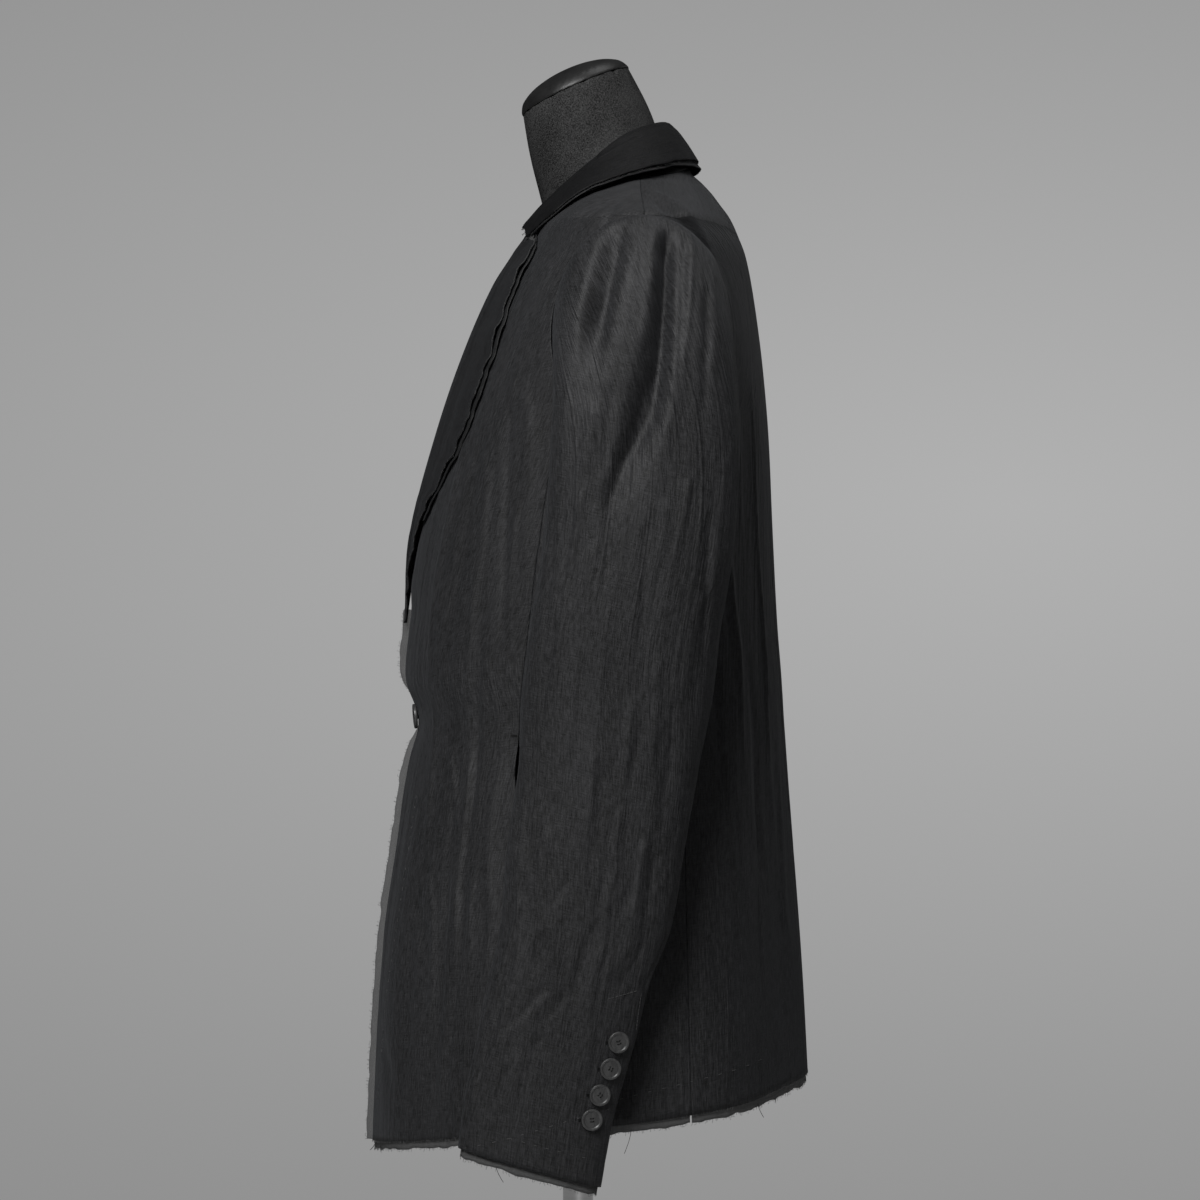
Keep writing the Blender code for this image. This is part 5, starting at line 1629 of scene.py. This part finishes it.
# The front button stands on a shank of wound thread, as thick cloth needs.
SHANK_RADIUS = 0.0019
SHANK_LENGTH = 0.0052
SHANK_WINDS = 7
SHANK_INSIDE = 0.0006         # its end is hidden in the back of the button
SHANK_SWELL = 1.16
deselect()
bpy.ops.mesh.primitive_cylinder_add(vertices=20, radius=SHANK_RADIUS, depth=SHANK_LENGTH,
                                    location=(0, 0, SHANK_INSIDE - SHANK_LENGTH / 2))
shank = bpy.context.object
bpy.ops.object.transform_apply(location=True)
pick(shank, "EDGE", lambda m, way: abs(way.z) > 0.9)
bpy.ops.mesh.subdivide(number_cuts=2 * SHANK_WINDS - 1)
wind = SHANK_LENGTH / (2 * SHANK_WINDS)
pick(shank, "VERT", lambda m, n: round((SHANK_INSIDE - m.z) / wind) % 2 == 1)
bpy.ops.transform.resize(value=(SHANK_SWELL, SHANK_SWELL, 1.0), center_override=(0, 0, 0))
bpy.ops.object.mode_set(mode="OBJECT")
shank.data.transform(button_places["button_front"])
done(shank, 60)
finish_piece(shank, "thread_shank_front", THREAD_BLACK)
print("buttons placed:", len(button_places))

# %% [markdown]
# ## Dress form
# The form is one smooth padded body. Its CAD solid is coarse, so a copy of it is merged and
# subdivided, with its two flat ends kept sharp by creased edges. The cap gets the same treatment.
# The jacket hides all of the form but the neck and a strip of the chest.

# %% Form and cap
def smooth_copy(node, name, levels, sharp):
    """Subdivided copy of a CAD solid that keeps edges sharper than an angle, in degrees."""
    source = bpy.data.objects[node]
    mesh = source.data.copy()
    mesh.transform(source.matrix_world)
    copy = add_object(name, mesh)
    pick(copy, "VERT", lambda m, n: True)
    bpy.ops.mesh.remove_doubles(threshold=0.00005)
    bpy.ops.mesh.customdata_custom_splitnormals_clear()
    bpy.ops.mesh.normals_make_consistent(inside=False)
    bpy.ops.mesh.select_mode(type="EDGE")
    bpy.ops.mesh.select_all(action="DESELECT")
    bpy.ops.mesh.edges_select_sharp(sharpness=math.radians(sharp))
    bpy.ops.transform.edge_crease(value=0.85)
    bpy.ops.object.mode_set(mode="OBJECT")
    apply_modifier(copy, "SUBSURF", {"levels": levels})
    done(copy, 50)
    return copy


form = smooth_copy("form_body", "form_padded_body", 2, 55)
finish_piece(form, "form_padded_body", COTTON, ["form_body"])
cap = smooth_copy("neck_cap", "form_neck_cap", 2, 50)
finish_piece(cap, "form_neck_cap", GLOSS, ["neck_cap"])


def shape_tree(piece):
    """Search tree of a finished piece."""
    return BVHTree.FromPolygons([v.co for v in piece.data.vertices],
                                [list(p.vertices) for p in piece.data.polygons])


FORM_SKIN = shape_tree(form)
print("form points:", len(form.data.vertices), "cap points:", len(cap.data.vertices))

# %% [markdown]
# ## Stand
# A chromed steel tube stands in a turned fitting on a round steel base. Each is a cylinder with
# enough sides to look round. Bevels round the rims, an inset sinks the top of the fitting a little,
# and another hollows the underside of the base.

# %% Stand
POLE_RADIUS = 0.0125
POLE_LOW = 0.0455
POLE_HIGH = 0.4995
SOCKET_RADIUS = 0.030
SOCKET_LOW = 0.0104
SOCKET_HIGH = 0.045
BASE_RADIUS = 0.175
BASE_THICK = 0.0100


def add_cylinder(radius, low, high, sides=96):
    deselect()
    bpy.ops.mesh.primitive_cylinder_add(vertices=sides, radius=radius, depth=high - low,
                                        location=(0, 0, (low + high) / 2))
    bpy.ops.object.transform_apply(location=True)
    return bpy.context.object


def round_rims(piece, radius, low, high, offset, segments):
    """Bevel the outer rims of a cylinder that lie between two heights."""
    pick(piece, "EDGE", lambda m, way: abs(way.z) < 0.1 and m.to_2d().length > radius * 0.98
         and low < m.z < high)
    bpy.ops.mesh.bevel(offset=offset, segments=segments)


pole = add_cylinder(POLE_RADIUS, POLE_LOW, POLE_HIGH)
round_rims(pole, POLE_RADIUS, 0, 1, 0.0006, 2)
done(pole, 30)
finish_piece(pole, "stand_pole", CHROME, ["pole"])

socket = add_cylinder(SOCKET_RADIUS, SOCKET_LOW, SOCKET_HIGH)
pick(socket, "FACE", lambda m, normal: normal.z > 0.9)
bpy.ops.mesh.inset(thickness=0.0110, use_boundary=True)
bpy.ops.mesh.inset(thickness=0.0006, depth=-0.0012, use_boundary=True)
round_rims(socket, SOCKET_RADIUS, 0.03, 1, 0.0090, 8)
round_rims(socket, SOCKET_RADIUS, 0, 0.011, 0.0010, 2)
done(socket, 30)
finish_piece(socket, "stand_socket", CHROME, ["pole_socket"])

base = add_cylinder(BASE_RADIUS, 0.0, BASE_THICK, 160)
round_rims(base, BASE_RADIUS, 0.005, 1, 0.0055, 6)
round_rims(base, BASE_RADIUS, -1, 0.001, 0.0008, 2)
pick(base, "FACE", lambda m, normal: normal.z < -0.9 and m.to_2d().length < 0.05)
bpy.ops.mesh.inset(thickness=0.0060, use_boundary=True)
bpy.ops.mesh.inset(thickness=0.0010, depth=-0.0010, use_boundary=True)
done(base, 30)
finish_piece(base, "stand_base", CHROME, ["base"])
print("stand pieces: pole, socket, base")

# %% [markdown]
# ## Threads
# The jacket is left raw on purpose, so its edges shed short threads, and a few hand stitches show.
# Every thread is a curve with a round bevel, turned into a mesh. To lay a stitch on the finished
# cloth, a ray is cast at the outer faces from the side, and the middle of the thread lies half its
# thickness proud of the place that is hit.

# %% Laying threads on the cloth
FRAY_RADIUS = 0.00013
STITCH_RADIUS = 0.00022
HAIR_ROOT = 0.0006
YARN_STEPS = 9
chance = np.random.default_rng(421)


def threads(name, runs, radius, material):
    """One mesh of round threads from lists of points."""
    wire = bpy.data.curves.new(name, "CURVE")
    wire.dimensions = "3D"
    wire.bevel_depth = radius
    wire.bevel_resolution = 0
    wire.use_fill_caps = True
    for run in runs:
        spline = wire.splines.new("POLY")
        spline.points.add(len(run) - 1)
        for point, place in zip(spline.points, run):
            point.co = (*place, 1)
    select_only(add_object(name, wire))
    bpy.ops.object.convert(target="MESH")
    done(bpy.context.object, 60)
    return finish_piece(bpy.context.object, name, material)


def skin(names):
    """Search tree of the outer faces of some cloth pieces."""
    spots, faces = [], []
    for name in names:
        grid = SURFACES[name]
        faces.extend((grid_faces(*grid.shape[:2]) + len(spots)).tolist())
        spots.extend(grid.reshape(-1, 3).tolist())
    return BVHTree.FromPolygons(spots, faces)


SKINS = {}
for side_name in SIDES:
    kinds = ("front", "side", "back", "sleeve_top", "sleeve_under")
    SKINS[side_name] = skin([f"cloth_{kind}_{side_name}" for kind in kinds])


def laid(side_name, y, z, lift=STITCH_RADIUS):
    """The place that a ray from one side hits at y and z, a little proud of the cloth."""
    side = SIDES[side_name]
    hit, normal, _, _ = SKINS[side_name].ray_cast(Vector((side, y, z)), Vector((-side, 0, 0)))
    if hit is None:
        return None
    if normal.x * side < 0:
        normal = -normal
    return hit + normal * lift


def laid_run(side_name, places, lift=STITCH_RADIUS):
    """One run of thread through places (y, z) on the cloth, or none where a ray misses it."""
    spots = [laid(side_name, y, z, lift) for y, z in places]
    return [spots] if all(spot is not None for spot in spots) else []


def stitches_along(side_name, path, length, gap):
    """Short stitches along a path of (y, z) in millimetres."""
    places = np.array(path, float) / 1000
    way = way_along(places)
    runs = []
    for start in np.arange(0, way[-1] - length, length + gap):
        marks = start + np.array([0.0, 0.5, 1.0]) * length * chance.uniform(0.8, 1.1)
        ys, zs = (np.interp(marks, way, places[:, axis]) for axis in (0, 1))
        runs += laid_run(side_name, zip(ys, zs))
    return runs


print("skins ready:", list(SKINS))

# %% [markdown]
# ## Hand stitches
# Small running stitches hold the hem and the front edge to the sheer layer. A closer row outlines
# the top and the edge of the cuff vent, and a bar tack strengthens the top of the pocket. Each cuff
# button has a worked buttonhole, of which the end shows beside the button.

# %% Stitches
StitchRow = namedtuple("StitchRow", "length gap path")
STITCH_ROWS = (
    StitchRow(0.0026, 0.0085, ((-128, 448), (-90, 456), (-50, 466), (-10, 478), (40, 491), (93, 502),
                               (146, 512))),
    StitchRow(0.0022, 0.0060, ((-160, 470), (-151, 560), (-137, 650), (-127, 720))),
    StitchRow(0.0024, 0.0070, ((-50, 466), (-20, 458), (10, 450))),
    StitchRow(0.0020, 0.0009, ((24, 571), (48, 577))),
    StitchRow(0.0020, 0.0009, ((49, 574), (47, 560), (45, 546))),
)
BAR_TACK_HEIGHT = 0.765
BAR_TACK_WIDTH = 0.0075
BAR_TACK_RUNS = 5
BAR_TACK_PITCH = 0.0004

for side_name in SIDES:
    runs = []
    for row in STITCH_ROWS:
        runs += stitches_along(side_name, row.path, row.length, row.gap)
    threads("stitches_" + side_name, runs, STITCH_RADIUS, THREAD_GREY)
    tack = []
    middle = float(FRONT_SEAM_Y(np.array(BAR_TACK_HEIGHT)))
    ys = np.linspace(middle - BAR_TACK_WIDTH * 0.8, middle - BAR_TACK_WIDTH * 0.2, 5)
    for number in range(BAR_TACK_RUNS):
        tack += laid_run(side_name, [(y, BAR_TACK_HEIGHT + number * BAR_TACK_PITCH) for y in ys])
    threads("bar_tack_" + side_name, tack, STITCH_RADIUS, THREAD_BLACK)
    print(side_name, "stitches:", len(runs), "bar tack runs:", len(tack))

# The cover of the form has a seam up each side of the neck.
NECK_SEAM_LOW = (0.019, 1.235)
NECK_SEAM_TOP = (0.010, 1.284)
for side_name, side in SIDES.items():
    seam = []
    for share in np.linspace(0, 1, 24):
        y, z = (blend(low, top, share) for low, top in zip(NECK_SEAM_LOW, NECK_SEAM_TOP))
        hit = FORM_SKIN.ray_cast(Vector((side, y, z)), Vector((-side, 0, 0)))
        seam.append(hit[0] + hit[1] * 0.00005)
    threads("neck_seam_" + side_name, [seam], 0.00025, COTTON)

HOLE_START = 0.0066           # how far in front of a cuff button's centre its worked hole begins
HOLE_LOOPS = 8
HOLE_PITCH = 0.00042
HOLE_WIDTH = 0.0011
HOLE_LIFT = 0.0003
HOLE_THREAD = 0.00026
for side_name in SIDES:
    loops = []
    for number in CUFF_BUTTONS:
        middle = button_places[f"button_cuff_{side_name}_{number}"].translation
        for loop in range(HOLE_LOOPS):
            y = middle.y - HOLE_START - loop * HOLE_PITCH
            width = HOLE_WIDTH * chance.uniform(0.8, 1.15)
            places = [(y, middle.z + width * share) for share in (-1.0, -0.35, 0.35, 1.0)]
            loops += laid_run(side_name, places, HOLE_LIFT)
    threads("buttonholes_" + side_name, loops, HOLE_THREAD, THREAD_BLACK)
    print(side_name, "buttonhole loops:", len(loops))

# %% [markdown]
# ## Frayed edges
# A cut edge sheds the ends of the yarns that cross it. Along each raw edge, short hairs start
# inside the cloth and leave it at a slant, unevenly spaced and few of them long. A few yarns have
# worked loose and hang in a curl, none longer than 20 mm.

# %% Frays
def edge_hairs(edge, inner, spacing, reach, slant=0.5):
    """Hairs that leave an edge; inner holds the points just inside each point of the edge."""
    way = way_along(edge)
    runs = []
    place = 0.0
    while place < way[-1]:
        spot = np.array([np.interp(place, way, edge[:, axis]) for axis in range(3)])
        root = np.array([np.interp(place, way, inner[:, axis]) for axis in range(3)])
        out = unit(spot - root)
        number = min(len(edge) - 2, int(np.searchsorted(way, place)))
        along = unit(edge[number + 1] - edge[number])
        length = reach * chance.uniform(0.25, 1.0) ** 2
        lean = along * chance.normal(0, slant) + chance.normal(0, 0.12, 3)
        tip = spot + unit(out + lean) * length
        middle = spot + unit(out + lean * 0.4) * length * 0.5
        runs.append([spot - out * HAIR_ROOT, middle, tip])
        place += spacing * chance.uniform(0.3, 1.9)
    return runs


def border(grid, edge):
    """Points along one edge of a grid, and the points just inside them."""
    lines = grid if edge in ("low", "high") else grid.transpose(1, 0, 2)
    return (lines[0], lines[1]) if edge in ("low", "first") else (lines[-1], lines[-2])


def frayed(edges, ending=""):
    """Hairs of all edges of a table."""
    runs = []
    for raw in edges:
        runs += edge_hairs(*border(SURFACES[raw.piece + ending], raw.edge), raw.spacing, raw.reach)
    return runs


def loose_yarn(start, way, length, curl):
    """A worked-loose yarn that leaves its edge in a direction and bends as it hangs."""
    spot = np.array(start, float)
    heading = unit(np.array(way, float))
    run = [spot.copy()]
    for number in range(YARN_STEPS):
        heading = unit(heading + np.array(curl, float) * (0.6 + 0.4 * math.sin(number * 1.7)))
        spot = spot + heading * length / YARN_STEPS
        run.append(spot.copy())
    return run


RawEdge = namedtuple("RawEdge", "piece edge spacing reach")
SHEER_EDGES = (
    RawEdge("sheer_strip_hem_front_", "low", 0.0016, 0.0030),
    RawEdge("sheer_strip_hem_side_", "low", 0.0016, 0.0030),
    RawEdge("sheer_strip_hem_back_", "low", 0.0016, 0.0030),
    RawEdge("sheer_strip_cuff_", "low", 0.0016, 0.0030),
    RawEdge("sheer_strip_front_", "first", 0.0016, 0.0026),
)
CLOTH_EDGES = (
    RawEdge("cloth_front_", "low", 0.0022, 0.0022),
    RawEdge("cloth_side_", "low", 0.0022, 0.0022),
    RawEdge("cloth_back_", "low", 0.0022, 0.0022),
    RawEdge("cloth_lapel_", "last", 0.0020, 0.0028),
    RawEdge("cloth_lapel_", "high", 0.0010, 0.0042),
)
COLLAR_EDGES = (
    RawEdge("cloth_collar", "first", 0.0020, 0.0026),
    RawEdge("cloth_collar", "low", 0.0009, 0.0050),
    RawEdge("cloth_collar", "high", 0.0009, 0.0050),
)
for side_name in SIDES:
    hairs = frayed(SHEER_EDGES, side_name)
    threads("frays_sheer_" + side_name, hairs, FRAY_RADIUS, THREAD_GREY)
    hairs = frayed(CLOTH_EDGES, side_name)
    threads("frays_cloth_" + side_name, hairs, FRAY_RADIUS, THREAD_GREY)
    print(side_name, "hairs:", len(hairs))

collar_hairs = frayed(COLLAR_EDGES)
threads("frays_collar", collar_hairs, FRAY_RADIUS, THREAD_GREY)
print("collar hairs:", len(collar_hairs))

# Where a yarn hangs loose: strip, share along its free edge, length and the bend of its fall.
LOOSE_YARNS = (
    ("sheer_strip_hem_side_left", 0.62, 0.020, (0.0, -0.16, -0.30)),
    ("sheer_strip_hem_back_left", 0.35, 0.012, (0.05, 0.20, -0.25)),
    ("sheer_strip_hem_back_left", 0.85, 0.009, (0.0, -0.25, -0.20)),
    ("sheer_strip_cuff_left", 0.32, 0.018, (0.0, 0.22, -0.22)),
    ("sheer_strip_cuff_left", 0.12, 0.007, (0.0, 0.30, -0.10)),
    ("sheer_strip_hem_front_left", 0.06, 0.008, (0.0, -0.30, -0.20)),
    ("sheer_strip_hem_side_right", 0.40, 0.014, (0.0, 0.20, -0.25)),
    ("sheer_strip_hem_back_right", 0.70, 0.010, (0.0, -0.20, -0.20)),
    ("sheer_strip_cuff_right", 0.60, 0.012, (0.0, -0.15, -0.25)),
)
yarns = {"left": [], "right": []}
for strip, share, length, curl in LOOSE_YARNS:
    grid = SURFACES[strip]
    number = round(share * (grid.shape[1] - 1))
    edge_spot, inner_spot = grid[0, number], grid[1, number]
    yarns["left" if strip.endswith("left") else "right"].append(
        loose_yarn(inner_spot, edge_spot - inner_spot, length, curl))
for side_name, runs in yarns.items():
    threads("loose_yarns_" + side_name, runs, STITCH_RADIUS, THREAD_BLACK)
print("loose yarns:", len(LOOSE_YARNS))


# %% [markdown]
# ## Studio
# The picture was taken in front of plain grey paper, with one large soft light high on the side
# that the wearer faces. A round pale floor lies below the picture. The camera and mirror-like
# reflections see the paper's soft gradient, but it lights the cloth only a little, because a real
# backdrop lies far behind it. The standard view transform keeps the greys as they were measured.

# %% Studio
FLOOR_RADIUS = 2.2
PAPER_MIDDLE = 0.475
PAPER_EDGE = 0.245
ROOM_LIGHT = 0.024

floor_paper = Material("studio_floor").surface(Base_Color=(0.50, 0.50, 0.50, 1), Roughness=0.85)
bpy.ops.object.select_all(action="DESELECT")
bpy.ops.mesh.primitive_circle_add(vertices=128, radius=FLOOR_RADIUS, fill_type="NGON")
floor = bpy.context.object
floor.name = "floor"
floor.data.materials.append(floor_paper)

world = bpy.data.worlds.new("studio")
world.use_nodes = True
bpy.context.scene.world = world
sky = Nodes(world.node_tree)
view = sky.add("TexCoord").outputs["Generated"]
# The light patch on the paper: how far each view direction lies from its middle.
spread = sky.add("Mapping", Vector=view, Scale=(0.0, 1.04, 2.4), Location=(0.0, -0.115, -0.06))
far = sky.add("VectorMath", {"operation": "LENGTH"}, Vector=spread.outputs["Vector"])
paper = sky.ramp(far.outputs["Value"], ((0.0, grey(PAPER_MIDDLE)), (0.50, grey(PAPER_EDGE))),
                 "B_SPLINE")
backdrop = sky.tree.nodes["Background"]
sky.set(backdrop, "Color", paper)
room = sky.add("Background", Color=(0.95, 0.97, 1.0, 1), Strength=ROOM_LIGHT)
rays = sky.add("LightPath").outputs
seen = sky.math("MAXIMUM", rays["Is Camera Ray"], rays["Is Singular Ray"])
mix = sky.add("MixShader", Fac=seen)
sky.set(mix, 1, room.outputs["Background"])
sky.set(mix, 2, backdrop.outputs["Background"])
sky.set(sky.tree.nodes["World Output"], "Surface", mix.outputs["Shader"])
bpy.context.scene.view_settings.view_transform = "Standard"


def area_light(name, place, aim, size, watts):
    light = bpy.data.lights.new(name, "AREA")
    light.size = size
    light.energy = watts
    lamp = add_object(name, light)
    lamp.location = place
    lamp.rotation_euler = (Vector(aim) - Vector(place)).to_track_quat("-Z", "Y").to_euler()


Lamp = namedtuple("Lamp", "name place aim size watts")
LAMPS = (
    Lamp("key", (1.95, -0.72, 2.35), (0.1, 0.0, 1.0), 1.1, 57),
    Lamp("fill", (3.2, 0.6, 1.8), (0.0, 0.0, 0.8), 1.8, 2),
    Lamp("top", (0.2, 0.5, 2.6), (0.0, 0.05, 1.0), 0.9, 6),
    Lamp("far", (-2.2, 2.2, 1.9), (0.0, 0.0, 0.9), 1.6, 3),
)
for lamp in LAMPS:
    area_light(*lamp)
print("lights: key, fill and top on the near side, a weak one on the far side")
